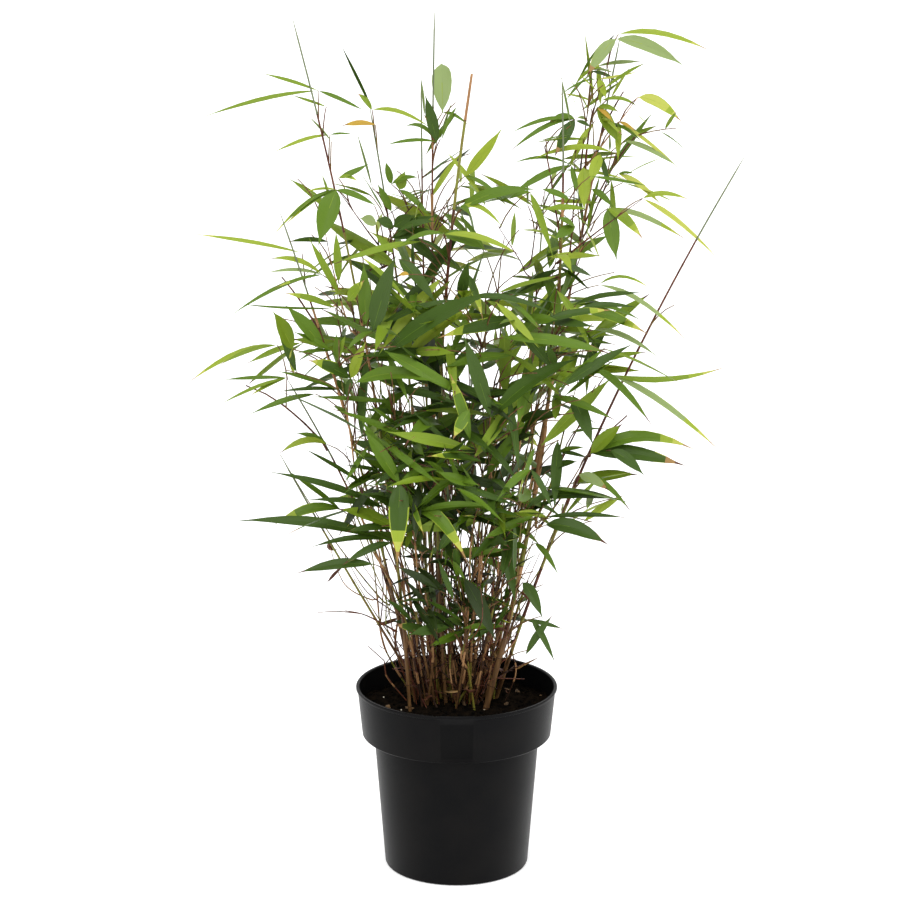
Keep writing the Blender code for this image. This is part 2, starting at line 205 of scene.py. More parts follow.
def collar_radius(z):
    share = (z - COLLAR_BOTTOM_Z) / (POT_HEIGHT - LIP_HEIGHT - COLLAR_BOTTOM_Z)
    return COLLAR_BOTTOM_RADIUS + (RIM_RADIUS - LIP_STEP - COLLAR_BOTTOM_RADIUS) * share


def lathe(outline, steps):
    """Spins an outline of (radius, z) points, which starts and ends on the Z axis, into a closed body."""
    bm = bmesh.new()
    points = [bm.verts.new((0, -r, z)) for r, z in outline]
    edges = [bm.edges.new(pair) for pair in zip(points, points[1:])]
    bmesh.ops.spin(
        bm,
        geom=points + edges,
        cent=(0, 0, 0),
        axis=(0, 0, 1),
        angle=2 * math.pi,
        steps=steps,
        use_merge=True,
    )
    bmesh.ops.remove_doubles(bm, verts=bm.verts, dist=1e-6)
    bmesh.ops.recalc_face_normals(bm, faces=bm.faces)
    return bm


def front_angle(place):
    """The angle about the pot's axis, from straight ahead."""
    return abs(math.atan2(place.x, -place.y))


def new_effect(name, inputs, outputs):
    """An empty node group with named sockets, and its input and output nodes."""
    effect = bpy.data.node_groups.new(name, "ShaderNodeTree")
    for socket, kind, value in inputs:
        entry = effect.interface.new_socket(socket, in_out="INPUT", socket_type="NodeSocket" + kind)
        entry.default_value = value
    for socket, kind in outputs:
        effect.interface.new_socket(socket, in_out="OUTPUT", socket_type="NodeSocket" + kind)
    return effect, effect.nodes.new("NodeGroupInput"), effect.nodes.new("NodeGroupOutput")


def build_mottle():
    """Mottle: broad patches and fine grain, mixed from two colours, with a height for a bump."""
    effect, given, result = new_effect(
        "mottle",
        [
            ("Vector", "Vector", (0, 0, 0)),
            ("Main colour", "Color", (0.5, 0.5, 0.5, 1)),
            ("Patch colour", "Color", (0.5, 0.5, 0.5, 1)),
            ("Patch scale", "Float", 40.0),
            ("Grain scale", "Float", 900.0),
        ],
        [("Color", "Color"), ("Height", "Float")],
    )
    patches = add_node(effect, "TexNoise", Detail=4)
    grain = add_node(effect, "TexNoise", Detail=2)
    spread = add_node(effect, "MapRange", From_Min=0.38, From_Max=0.66)
    mix = add_node(effect, "Mix")
    mix.data_type = "RGBA"
    wire(
        effect,
        (given, "Vector", patches, "Vector"),
        (given, "Patch scale", patches, "Scale"),
        (given, "Vector", grain, "Vector"),
        (given, "Grain scale", grain, "Scale"),
        (patches, "Fac", spread, "Value"),
        (spread, "Result", mix, "Factor"),
        (given, "Main colour", mix, "A"),
        (given, "Patch colour", mix, "B"),
        (mix, "Result", result, "Color"),
        (grain, "Fac", result, "Height"),
    )
    return effect


mottle = build_mottle()


def add_relief(finish, shader, effect, depth):
    """Gives a finish a fine relief of this many metres, from the effect's height."""
    bump = add_node(finish.node_tree, "Bump", Distance=depth)
    wire(finish.node_tree, (effect, "Height", bump, "Height"), (bump, "Normal", shader, "Normal"))


def mottled_finish(
    name, main, patch, roughness, patch_scale, grain_scale, relief, shine=0.5, stretch=(1, 1, 1)
):
    """A finish of two mottled colours with a fine relief. A stretch of the pattern makes streaks."""
    finish, shader = new_finish(name, main, roughness, shine)
    tree = finish.node_tree
    place = add_node(tree, "TexCoord")
    mapping = add_node(tree, "Mapping", Scale=stretch)
    effect = add_node(tree, "Group")
    effect.node_tree = mottle
    effect.inputs["Main colour"].default_value = paint(*main)
    effect.inputs["Patch colour"].default_value = paint(*patch)
    effect.inputs["Patch scale"].default_value = patch_scale
    effect.inputs["Grain scale"].default_value = grain_scale
    wire(
        tree,
        (place, "Object", mapping, "Vector"),
        (mapping, "Vector", effect, "Vector"),
        (effect, "Color", shader, "Base Color"),
    )
    add_relief(finish, shader, effect, relief)
    return finish


lip_z = POT_HEIGHT - LIP_HEIGHT
inner_ledge_z = COLLAR_BOTTOM_Z + WALL
pot_mesh = lathe(
    [
        (0, 0),
        (BASE_RADIUS - EDGE_ROUND, 0),
        (BASE_RADIUS - EDGE_ROUND * 0.3, EDGE_ROUND * 0.3),
        (BASE_RADIUS, EDGE_ROUND),
        (BODY_TOP_RADIUS, COLLAR_BOTTOM_Z),
        (COLLAR_BOTTOM_RADIUS - EDGE_ROUND / 2, COLLAR_BOTTOM_Z),
        (COLLAR_BOTTOM_RADIUS, COLLAR_BOTTOM_Z + EDGE_ROUND / 2),
        (collar_radius(PANEL_TOP_Z), PANEL_TOP_Z),
        (collar_radius(lip_z), lip_z),
        (RIM_RADIUS - LIP_STEP / 3, lip_z + LIP_STEP / 3),
        (RIM_RADIUS, lip_z + LIP_STEP),
        (RIM_RADIUS, POT_HEIGHT - LIP_STEP / 2),
        (RIM_RADIUS - LIP_STEP / 3, POT_HEIGHT),
        (RIM_RADIUS - LIP_STEP - WALL / 2, POT_HEIGHT),
        (RIM_RADIUS - LIP_STEP - WALL, POT_HEIGHT - LIP_STEP / 2),
        (collar_radius(lip_z) - WALL, lip_z),
        (collar_radius(PANEL_TOP_Z) - WALL, PANEL_TOP_Z),
        (COLLAR_BOTTOM_RADIUS - WALL, inner_ledge_z),
        (BODY_TOP_RADIUS - WALL, inner_ledge_z),
        (BASE_RADIUS - WALL, WALL),
        (0, WALL),
    ],
    POT_STEPS,
)
for point in pot_mesh.verts:
    turned = front_angle(point.co)
    from_axis = math.hypot(point.co.x, point.co.y)
    at_panel_height = COLLAR_BOTTOM_Z - WALL / 2 < point.co.z < PANEL_TOP_Z + WALL / 2
    if at_panel_height and from_axis > BODY_TOP_RADIUS + WALL and turned < PANEL_HALF_ANGLE - PANEL_EDGE:
        point.co.y += from_axis * (math.cos(turned) - math.cos(PANEL_HALF_ANGLE))
    on_lip = point.co.z > lip_z + LIP_STEP / 6 and from_axis > collar_radius(lip_z) - WALL / 2
    if on_lip and turned < TAB_HALF_ANGLE:
        point.co.z += TAB_RISE
panel_faces = []
for face in pot_mesh.faces:
    middle = face.calc_center_median()
    in_height = COLLAR_BOTTOM_Z + EDGE_ROUND / 2 < middle.z < PANEL_TOP_Z
    faces_front = face.normal.y < -0.9
    if in_height and faces_front and front_angle(middle) < PANEL_HALF_ANGLE:
        panel_faces.append(face)
bmesh.ops.inset_region(
    pot_mesh, faces=panel_faces, thickness=PANEL_BORDER, depth=-PANEL_DEPTH, use_even_offset=True
)
# painted shade: the panel's faces take the second finish, a darker copy of the pot's black
for face in panel_faces:
    face.material_index = 1

plastic = mottled_finish("black_pot_plastic", (9, 9, 10), (14, 13, 13), 0.38, 28, 1600, 0.00007, shine=0.06)
# painted shade: the same black plastic, darker, for the recessed panel on the front
panel_painted_shade = mottled_finish("panel_plastic_painted_shade", (3, 3, 4), (7, 7, 7), 0.3, 28, 1600, 0.00003, shine=0.06)
pot = new_object("nursery_pot", pot_mesh, [plastic, panel_painted_shade])
drill_mesh = bmesh.new()
for number in range(DRAIN_HOLES):
    turn = Matrix.Rotation(2 * math.pi * number / DRAIN_HOLES, 4, "Z")
    bmesh.ops.create_cone(
        drill_mesh,
        cap_ends=True,
        segments=20,
        radius1=DRAIN_RADIUS,
        radius2=DRAIN_RADIUS,
        depth=6 * WALL,
        matrix=turn @ Matrix.Translation((DRAIN_CIRCLE_RADIUS, 0, 0)),
    )
drill = new_object("drain_hole_drill", drill_mesh, [])
drilling = pot.modifiers.new("drain_holes", "BOOLEAN")
drilling.object = drill
drilled = bpy.data.meshes.new_from_object(pot.evaluated_get(bpy.context.evaluated_depsgraph_get()))
pot.modifiers.clear()
pot.data = drilled
bpy.data.objects.remove(drill)
drilled.shade_smooth()
drilled.set_sharp_from_angle(angle=SHARPEST_ROUND)
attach(pot, "root")
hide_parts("pot")

# ------------------------------
# The compost. A plug of dark peat that fills the pot to 1.8 cm below the rim. Its outline is spun like the
# pot's, and its top is pushed into lumps.
COMPOST_TOP_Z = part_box("compost")[1].z
COMPOST_FLOOR_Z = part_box("compost")[0].z
COMPOST_RINGS = 46
COMPOST_STEPS = 150
LUMPS = ((24, 0.0042), (75, 0.0026), (230, 0.0015))  # bumps to a metre, and how high they stand
LUMP_SINK = 0.0012


def compost_height(x, y):
    """The height of the lumpy top at one place."""
    rise = sum(height * noise.noise(Vector((x * scale, y * scale, scale))) for scale, height in LUMPS)
    return COMPOST_TOP_Z - LUMP_SINK + rise


compost_gap = 0.0003
compost_ledge_z = inner_ledge_z + compost_gap
compost_foot_radius = COLLAR_BOTTOM_RADIUS - WALL - compost_gap
compost_top_radius = collar_radius(COMPOST_TOP_Z) - WALL - 4 * compost_gap
compost_mesh = lathe(
    [
        (0, COMPOST_FLOOR_Z),
        (BASE_RADIUS - WALL - compost_gap, COMPOST_FLOOR_Z),
        (BODY_TOP_RADIUS - WALL - compost_gap, compost_ledge_z),
        (compost_foot_radius, compost_ledge_z),
    ]
    + [(compost_top_radius * (1 - ring / COMPOST_RINGS), COMPOST_TOP_Z) for ring in range(COMPOST_RINGS + 1)],
    COMPOST_STEPS,
)
for point in compost_mesh.verts:
    turned = front_angle(point.co)
    from_axis = math.hypot(point.co.x, point.co.y)
    if from_axis > BODY_TOP_RADIUS and turned < PANEL_HALF_ANGLE:
        point.co.y += from_axis * (math.cos(turned) - math.cos(PANEL_HALF_ANGLE))
    if point.co.z > COMPOST_TOP_Z - compost_gap:
        point.co.z = compost_height(point.co.x, point.co.y)
peat = mottled_finish("peat", (11, 10, 9), (28, 22, 16), 1.0, 160, 1500, 0.0009, shine=0.0)
compost = new_object("compost_plug", compost_mesh, [peat])
compost.data.shade_smooth()
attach(compost, "root")
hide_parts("compost")

# ------------------------------
# What lies loose in the compost. Crumbs of peat, a few tan chips of bark and some white grains of perlite,
# pressed into the top. Each is a small rough lump with its own turn and squash, and they are joined in one
# piece.
CRUMBS = 620
CRUMB_SIZES = (0.0006, 0.0021)
CHIPS = 16
CHIP_SIZES = (0.0012, 0.0034)
PERLITE = 7
PERLITE_SIZES = (0.0007, 0.0015)
CRUMB_REACH = 0.97
CRUMB_TILT = 0.35
CRUMB_ROUGHNESS = (900, 0.35)  # bumps to a metre, and their height beside the crumb's size
CRUMB_DEPTHS = (0.7, 1.2)
CRUMB_LIFT = 0.4  # how high a crumb's middle stands, beside its own height
CRUMB_SEED = 11
bark_chip = mottled_finish("bark_chip", (104, 78, 46), (58, 42, 26), 0.85, 300, 2000, 0.0003)
perlite_grain = mottled_finish("perlite_grain", (214, 206, 190), (170, 160, 140), 0.8, 400, 3000, 0.0002)
crumb_chance = random.Random(CRUMB_SEED)
noise.seed_set(CRUMB_SEED)  # or the crumbs would come out a little different in each run
crumb_mesh = bmesh.new()


def faces_of(points):
    return {face for point in points for face in point.link_faces}


def scatter_crumbs(count, sizes, slot, flatness, longest):
    """Presses count crumbs of one kind into the compost, clear of the pot's wall."""
    for _ in range(count):
        reach = compost_top_radius * CRUMB_REACH * math.sqrt(crumb_chance.random())
        angle = crumb_chance.uniform(0, 2 * math.pi)
        x = reach * math.cos(angle)
        y = reach * math.sin(angle)
        size = crumb_chance.uniform(*sizes)
        squash = [crumb_chance.uniform(*limits) for limits in ((1, longest), CRUMB_DEPTHS, (flatness, 1))]
        shape = Matrix.Translation((x, y, compost_height(x, y) + size * flatness * CRUMB_LIFT))
        shape @= Matrix.Rotation(crumb_chance.uniform(0, 2 * math.pi), 4, "Z")
        shape @= Matrix.Rotation(crumb_chance.gauss(0, CRUMB_TILT), 4, "X")
        shape @= Matrix.Rotation(crumb_chance.gauss(0, CRUMB_TILT), 4, "Y")
        shape @= Matrix.Diagonal((*squash, 1))
        points = bmesh.ops.create_icosphere(crumb_mesh, subdivisions=1, radius=size, matrix=shape)["verts"]
        for point in points:
            point.co += noise.noise_vector(point.co * CRUMB_ROUGHNESS[0]) * size * CRUMB_ROUGHNESS[1]
        for face in faces_of(points):
            face.material_index = slot


scatter_crumbs(CRUMBS, CRUMB_SIZES, 0, 0.6, 1.4)
scatter_crumbs(CHIPS, CHIP_SIZES, 1, 0.25, 2.2)
scatter_crumbs(PERLITE, PERLITE_SIZES, 2, 0.8, 1.2)
crumbs = new_object("compost_crumbs", crumb_mesh, [peat, bark_chip, perlite_grain])
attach(crumbs, "root")

# ------------------------------
# The long canes. Each is a woody tube with a raised ring at every node, papery sheaths round its upper
# stretches and a rolled, needle-like leaf at its tip. A grid is rolled round the smooth line that the solid
# cane follows.
CANE_SIDES = 10
CANE_STEP = 0.004
RING_GAP = 0.0025  # two rings of a solid limb lie farther apart than this
CANE_SUNK = 0.012
CANE_SLIM = 0.8  # how thick most canes are, beside their solids
BROKEN_TIP = 1.8
FIRST_NODE = (0.010, 0.006)  # how far up it lies at least, and how much farther it may lie
FIRST_INTERNODE = 0.022
LONGEST_INTERNODE = 0.085
INTERNODE_GROWTH = 1.32
NODE_REACH = 0.0012
NODE_SWELL = 1.12
SHEATH_SHARE = (0.35, 0.8)
SHEATH_OUTLINE = ((0, 1.18), (0.08, 1.28), (0.35, 1.24), (0.65, 1.2), (0.92, 1.24), (1.0, 1.12))
SHEATHS_FROM_Z = 0.30
BARE_SHARE = 0.35  # how many stretches have shed their sheath
STATION_STEP = 0.018
SPEAR_LENGTH = 0.085
STUMP_LENGTH = 0.004  # left bare past the last node, where a cane has no spear
TAN, GREEN, PURPLE, RING, SHEATH, SPEAR = range(6)
LONG_CANES = {  # from each cane's foot up: the height in metres where a colour starts, and the colour
    "cane_left_tall": ((0, TAN), (0.24, GREEN), (0.46, SHEATH), (0.50, GREEN), (0.58, PURPLE)),
    "cane_left_second": ((0, TAN), (0.28, GREEN), (0.50, TAN), (0.56, PURPLE)),
    "cane_centre": ((0, TAN), (0.40, GREEN), (0.52, PURPLE), (0.66, TAN)),
    "cane_centre_back": ((0, TAN), (0.38, GREEN), (0.50, PURPLE)),
    "cane_broken": ((0, TAN), (0.34, GREEN), (0.56, PURPLE), (0.645, GREEN), (0.705, PURPLE),
                    (0.722, SHEATH)),
    "cane_left_high": ((0, TAN), (0.30, GREEN), (0.42, PURPLE)),
    "cane_left_arch": ((0, TAN), (0.28, GREEN), (0.36, PURPLE)),
    "cane_left_low": ((0, TAN), (0.24, GREEN)),
    "cane_right_main": ((0, TAN), (0.235, GREEN), (0.264, SHEATH), (0.30, GREEN), (0.385, SHEATH),
                        (0.435, GREEN), (0.495, PURPLE), (0.56, GREEN), (0.60, PURPLE)),
    "cane_right_tall": ((0, TAN), (0.40, GREEN), (0.50, PURPLE)),
    "cane_right_shoot": ((0, TAN), (0.20, GREEN), (0.245, PURPLE), (0.31, GREEN), (0.36, PURPLE)),
    "cane_right_back": ((0, TAN), (0.36, GREEN), (0.46, PURPLE)),
}
SHORT_COLOURS = ((0, TAN), (0.24, GREEN), (0.36, PURPLE))
BOUGH_COLOURS = ((0, PURPLE),)


def ring_centres(node):
    """The centres and radii of a solid limb's rings, from its foot to its tip, read from its own mesh."""
    corners = [point.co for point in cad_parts[node].data.vertices]
    foot = min(corners, key=lambda place: place.z)
    tip = max(corners, key=lambda place: (place - foot).length)
    along = (tip - foot).normalized()
    corners.sort(key=lambda place: (place - foot).dot(along))
    rings = [[corners[0]]]
    for before, after in zip(corners, corners[1:]):
        if (after - before).dot(along) > RING_GAP:
            rings.append([])
        rings[-1].append(after)
    centres = []
    radii = []
    for ring in rings:
        centre = sum(ring, Vector()) / len(ring)
        centres.append(centre)
        radii.append(max((place - centre).length for place in ring))
    return centres, radii


def smooth_line(centres, spacing):
    """Points about every spacing metres along a smooth curve through the centres."""
    dense = []
    last = len(centres) - 1
    for number in range(last):
        start = centres[number]
        end = centres[number + 1]
        lead = (end - centres[max(number - 1, 0)]) / 6
        trail = (centres[min(number + 2, last)] - start) / 6
        steps = max(2, round((end - start).length / spacing))
        dense += interpolate_bezier(start, start + lead, end - trail, end, steps + 1)[:-1]
    return dense + [centres[-1].copy()]


def lay_grid(bm, rows, columns):
    """Lays a flat grid, one metre wide, and gives the row and column of each of its points."""
    sheet = bmesh.ops.create_grid(bm, x_segments=rows, y_segments=columns, size=0.5, calc_uvs=True)["verts"]
    return {point: (round((point.co.x + 0.5) * rows), round((point.co.y + 0.5) * columns)) for point in sheet}


def roll_tube(bm, points, radii, sides, slots):
    """Rolls a grid into a tube along points and shuts its ends. slots names the finish of each stretch."""
    count = len(points)
    sheet = lay_grid(bm, count + 1, sides)
    across = (points[1] - points[0]).orthogonal()
    frames = []
    for number in range(count):
        along = (points[min(number + 1, count - 1)] - points[max(number - 1, 0)]).normalized()
        across = (across - along * across.dot(along)).normalized()
        frames.append((across, across.cross(along)))
    for point, (row, _) in sheet.items():
        angle = 2 * math.pi * (point.co.y + 0.5)
        number = min(max(row - 1, 0), count - 1)
        radius = radii[number] if 0 < row <= count else 0.0
        side, rise = frames[number]
        point.co = points[number] + (side * math.cos(angle) + rise * math.sin(angle)) * radius
    for face in faces_of(sheet):
        stretch = min(sheet[point][0] for point in face.verts) - 1
        face.material_index = slots[min(max(stretch, 0), count - 1)]
        face.smooth = True


def close_seams(bm):
    """Joins the rolled grids' edges and ends."""
    bmesh.ops.remove_doubles(bm, verts=bm.verts, dist=1e-6)
    bmesh.ops.dissolve_degenerate(bm, edges=bm.edges, dist=1e-7)


def colour_at(colours, height):
    return [colour for start, colour in colours if start <= height][-1]


def grow_cane(bm, line, foot_radius, tip_radius, colours, chance, spear=True, sheathed_from=SHEATHS_FROM_Z):
    """Rolls a cane with its node rings, colours and sheaths along a line of evenly spaced points."""
    lengths = [0.0]
    for before, after in zip(line, line[1:]):
        lengths.append(lengths[-1] + (after - before).length)
    whole = lengths[-1]

    def at(distance):
        """The place and the plain radius this far along the cane."""
        distance = min(max(distance, 0.0), whole)
        number = max(1, next((i for i, length in enumerate(lengths) if length >= distance), len(lengths) - 1))
        step = lengths[number] - lengths[number - 1]
        share = (distance - lengths[number - 1]) / step if step else 0.0
        radius = foot_radius + (tip_radius - foot_radius) * distance / whole
        return line[number - 1].lerp(line[number], share), radius

    nodes = [FIRST_NODE[0] + FIRST_NODE[1] * chance.random()]
    internode = FIRST_INTERNODE
    woody = whole - (SPEAR_LENGTH if spear else STUMP_LENGTH)
    while nodes[-1] + internode < woody:
        nodes.append(nodes[-1] + internode)
        internode = min(internode * INTERNODE_GROWTH, LONGEST_INTERNODE) * chance.uniform(0.92, 1.08)
    if spear:
        nodes.append(max(woody, nodes[-1] + NODE_REACH * 4))
    points = []
    radii = []
    slots = []

    def station(distance, swell, slot):
        place, radius = at(distance)
        points.append(place)
        radii.append(radius * swell)
        slots.append(slot)

    station(0.0, 1.05, colour_at(colours, line[0].z))
    for start, end in zip([0.0] + nodes, nodes + [whole]):
        slot = colour_at(colours, at((start + end) / 2)[0].z)
        if spear and start == nodes[-1]:
            slot = SPEAR
        if start > 0:
            station(start, NODE_SWELL, slot)
            station(start + NODE_REACH * 0.6, 1.10, slot)
        station(start + NODE_REACH * 2.5, 1.0, slot)
        steps = max(1, round((end - start) / STATION_STEP))
        for step in range(1, steps):
            station(start + (end - start) * step / steps, 1.0, slot)
        if end < whole:
            station(end - NODE_REACH * 2.0, 1.02, slot)
            station(end - NODE_REACH * 0.7, NODE_SWELL, RING)
        else:
            station(whole, 0.35 if spear else 0.9, slot)
    roll_tube(bm, points, radii, CANE_SIDES, slots)
    for start, end in zip(nodes, nodes[1:]):
        height = at(start)[0].z
        if height < sheathed_from or chance.random() < BARE_SHARE:
            continue
        length = (end - start) * chance.uniform(*SHEATH_SHARE)
        places = [at(start + length * share)[0] for share, _ in SHEATH_OUTLINE]
        radii = [at(start)[1] * swell for _, swell in SHEATH_OUTLINE]
        roll_tube(bm, places, radii, CANE_SIDES, [SHEATH] * len(SHEATH_OUTLINE))


def streaked_finish(name, main, patch, roughness):
    """A cane's finish: two colours streaked along it, with a fine lengthwise relief."""
    return mottled_finish(
        name, main, patch, roughness, 260, 1500, 0.00012, shine=0.25, stretch=(1, 1, 0.12)
    )


cane_finishes = [
    streaked_finish("cane_tan", (112, 82, 48), (76, 52, 30), 0.5),
    streaked_finish("cane_green", (118, 122, 46), (118, 92, 44), 0.42),
    streaked_finish("cane_purple", (74, 36, 27), (106, 60, 36), 0.42),
    streaked_finish("cane_ring", (66, 40, 25), (40, 26, 18), 0.6),
    streaked_finish("cane_sheath", (172, 130, 88), (132, 94, 58), 0.7),
    streaked_finish("cane_spear", (112, 120, 88), (92, 102, 74), 0.5),
]
stems = []  # every limb that a twig can grow from, as a line of points


def finish_cane(name, bm, node):
    close_seams(bm)
    piece = new_object(name, bm, cane_finishes)
    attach(piece, "root")
    if node:
        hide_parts(node)


def sunk_line(node):
    """The smooth line of a cane's solid, carried on down into the compost."""
    centres, radii = ring_centres(node)
    down = (centres[0] - centres[1]).normalized() * CANE_SUNK
    return smooth_line([centres[0] + down] + centres, CANE_STEP), radii


BARE_CANES = ("cane_broken", "cane_right_shoot", "cane_left_tall")  # no old sheaths cling to these
cane_chance = random.Random(23)
cane_nodes = sorted(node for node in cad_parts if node.startswith("cane_"))
bough_nodes = sorted(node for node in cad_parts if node.startswith("bough_"))
for node in cane_nodes:
    line, radii = sunk_line(node)
    cane_mesh = bmesh.new()
    short = node.startswith("cane_short")
    broken = node == "cane_broken"
    slim = 1.0 if node == "cane_right_main" else CANE_SLIM
    grow_cane(
        cane_mesh,
        line,
        radii[0] * slim,
        radii[-1] * (BROKEN_TIP if broken else 1),
        SHORT_COLOURS if short else LONG_CANES[node],
        cane_chance,
        spear=not (short or broken),
        sheathed_from=1.0 if node in BARE_CANES else SHEATHS_FROM_Z,
    )
    stems.append(line)
    finish_cane(node.replace("cane_", "stem_"), cane_mesh, node)

# ------------------------------
# The boughs. Six long side branches, thinner and redder than the canes, that leave a cane at a node and
# carry the outermost sprays. They are rolled like the canes, and start inside the cane that bears them.
BOUGH_SLIM = 0.7
BOUGH_SUNK = 0.003
BOUGH_SHEATHS_FROM_Z = 0.7
BOUGH_SHARE = 0.85  # how much of one shows, before it thins out among its twigs
SHORT_BOUGHS = {"bough_tower_top": 0.45, "bough_left_far": 0.6, "bough_right_wing": 0.6}
bough_lines = []
for node in bough_nodes:
    centres, radii = ring_centres(node)
    start = centres[0] + (centres[0] - centres[1]).normalized() * BOUGH_SUNK
    line = smooth_line([start] + centres, CANE_STEP)
    line = line[: round(len(line) * SHORT_BOUGHS.get(node, BOUGH_SHARE))]
    bough_mesh = bmesh.new()
    grow_cane(
        bough_mesh,
        line,
        radii[0] * BOUGH_SLIM,
        radii[-1],
        BOUGH_COLOURS,
        cane_chance,
        spear=False,
        sheathed_from=BOUGH_SHEATHS_FROM_Z,
    )
    bough_lines.append(line)
    finish_cane(node.replace("bough_", "branch_"), bough_mesh, node)

# ------------------------------
# The thin canes. Some ninety spindly stems and stubs crowd the middle of the clump, older and browner low
# down, and most end among the leaves. They stand on a sunflower pattern over the clump, and each leans out
# more or less the way its foot lies.
THIN_CANES = 88
CLUMP_CENTRE = Vector((-0.002, 0.013))
CLUMP_HALF_SIZE = Vector((0.041, 0.029))
THIN_RADII = (0.0006, 0.0012)
THIN_HEIGHTS = (0.27, 0.58)
STUB_HEIGHTS = (0.20, 0.28)
STUB_SHARE = 0.2  # how many of them are the stubs of dead canes
THIN_LEAN = 1.9
THIN_STRAY = (0.026, 0.020, 0.0)
THIN_BEND = 0.006
THIN_BENDS_AT = (0.3, 0.55, 0.8)
THIN_TIP_RADIUS = 0.0005
THIN_COLOUR_CHANGE = (0.19, 0.40)  # between which heights the colour changes
THIN_SHEATHS_FROM_Z = 0.17
FOOT_STRAY = 0.003
GOLDEN_ANGLE = math.pi * (3 - math.sqrt(5))
thin_chance = random.Random(7)


def stray(chance, x, y, z):
    """A small random step, this wide each way."""
    return Vector((chance.gauss(0, x), chance.gauss(0, y), chance.gauss(0, z)))


thin_meshes = [bmesh.new(), bmesh.new(), bmesh.new()]
for number in range(THIN_CANES):
    reach = math.sqrt((number + 0.5) / THIN_CANES)
    angle = number * GOLDEN_ANGLE
    spot = Vector((math.cos(angle) * CLUMP_HALF_SIZE.x, math.sin(angle) * CLUMP_HALF_SIZE.y)) * reach
    foot = Vector((CLUMP_CENTRE.x + spot.x, CLUMP_CENTRE.y + spot.y, COMPOST_TOP_Z - CANE_SUNK))
    foot += stray(thin_chance, FOOT_STRAY, FOOT_STRAY, 0)
    top_z = thin_chance.uniform(*(STUB_HEIGHTS if thin_chance.random() < STUB_SHARE else THIN_HEIGHTS))
    lean = THIN_LEAN * (top_z - foot.z) / (THIN_HEIGHTS[1] - foot.z) * thin_chance.uniform(0.5, 1.3)
    top = Vector((foot.x + spot.x * lean, foot.y + spot.y * lean, top_z)) + stray(thin_chance, *THIN_STRAY)
    bends = [foot.lerp(top, share) + stray(thin_chance, THIN_BEND, THIN_BEND, 0) for share in THIN_BENDS_AT]
    line = smooth_line([foot, *bends, top], CANE_STEP)
    change = thin_chance.uniform(*THIN_COLOUR_CHANGE)
    upper = thin_chance.choice((GREEN, PURPLE, GREEN, SHEATH, GREEN, TAN))
    lower = thin_chance.choice((TAN, PURPLE, TAN, GREEN, PURPLE, GREEN, RING))
    grow_cane(
        thin_meshes[number % 3],
        line,
        thin_chance.uniform(*THIN_RADII),
        THIN_TIP_RADIUS,
        ((0, lower), (change, upper)),
        thin_chance,
        spear=False,
        sheathed_from=THIN_SHEATHS_FROM_Z,
    )
    stems.append(line)
for name, bm in zip(("first", "second", "third"), thin_meshes):
    finish_cane(f"thin_stems_{name}", bm, None)

# ------------------------------
# The side shoots. Wiry branches leave the canes at a narrow angle and cross each other in the middle of the
# clump. Most grow by chance, and the few that stand clear of the leaves have a set route.
SHOOTS_FROM_Z = 0.20
SHOOTS_TO_Z = 0.50
SHOOT_SPREAD = (-0.1, 0.5)
SHOOT_STRAY = (0.35, 0.35, 0.1)
SHOOT_END_STRAY = (0.005, 0.005, 0)
SHOOT_LENGTHS = (0.045, 0.13)
SHOOT_RADII = (0.00075, 0.0003)
SHOOT_SIDES = 5
SHOOTS_WITHIN = 0.11  # how far from the middle of the clump a shoot of chance may end
SHOOTS_LEAFY_FROM = 0.30
SET_SHOOTS = (  # radius in tenths of a millimetre, colour and route in millimetres, from the nearest cane
    (11, PURPLE, [(117, 20, 600), (133, 10, 642), (148, 5, 686)]),
    (12, PURPLE, [(90, -20, 580), (128, -42, 615), (164, -45, 642)]),
    (14, PURPLE, [(117, 20, 657), (120, 22, 695), (128, 24, 728), (136, 25, 754)]),
    (12, TAN, [(112, 10, 659), (116, 12, 698), (121, 14, 738)]),
    (12, PURPLE, [(-62, 0, 578), (-82, -20, 612), (-104, -38, 647)]),
    (11, PURPLE, [(-60, 10, 607), (-41, 10, 627), (-22, 12, 649)]),
    (9, PURPLE, [(-21, 0, 605), (-12, -5, 625), (-1, -10, 647)]),
    (10, SHEATH, [(118, 20, 663), (135, 12, 688), (163, 8, 727)]),
    (14, SHEATH, [(96, 0, 548), (108, 0, 580), (121, 0, 606)]),
    (9, PURPLE, [(66, -20, 568), (56, -20, 584), (37, -20, 614)]),
    (9, PURPLE, [(67, 0, 578), (72, 0, 612), (80, 0, 644)]),
    (10, PURPLE, [(103, 10, 576), (106, 10, 631), (107, 12, 678)]),
    (9, SHEATH, [(-96, -30, 521), (-111, -35, 577), (-120, -40, 627)]),
    (9, GREEN, [(-68, 0, 256), (-117, -10, 324), (-162, -20, 403)]),
    (17, GREEN, [(74, 0, 338), (88, -2, 373), (98, -5, 419), (111, -10, 471)]),
    (12, PURPLE, [(90, -10, 382), (110, -12, 424), (130, -20, 468)]),
    (15, SHEATH, [(76, 0, 328), (101, -10, 367), (120, -20, 404)]),
    (13, PURPLE, [(-56, -10, 230), (-84, -20, 249), (-104, -30, 257)]),
    (7, PURPLE, [(-90, -23, 252), (-111, -30, 256), (-128, -40, 258)]),
    (8, SHEATH, [(-79, 0, 258), (-104, -10, 276), (-117, -20, 314)]),
    (8, GREEN, [(59, 0, 258), (82, -10, 300), (92, -15, 340)]),
)
shoot_chance = random.Random(31)
shoot_mesh = bmesh.new()
shoot_lines = []


def away_from(axis, place, sideways=1):
    """The level way out from an upright axis to a place."""
    return Vector((sideways * (place.x - axis.x), place.y - axis.y, 0)).normalized()


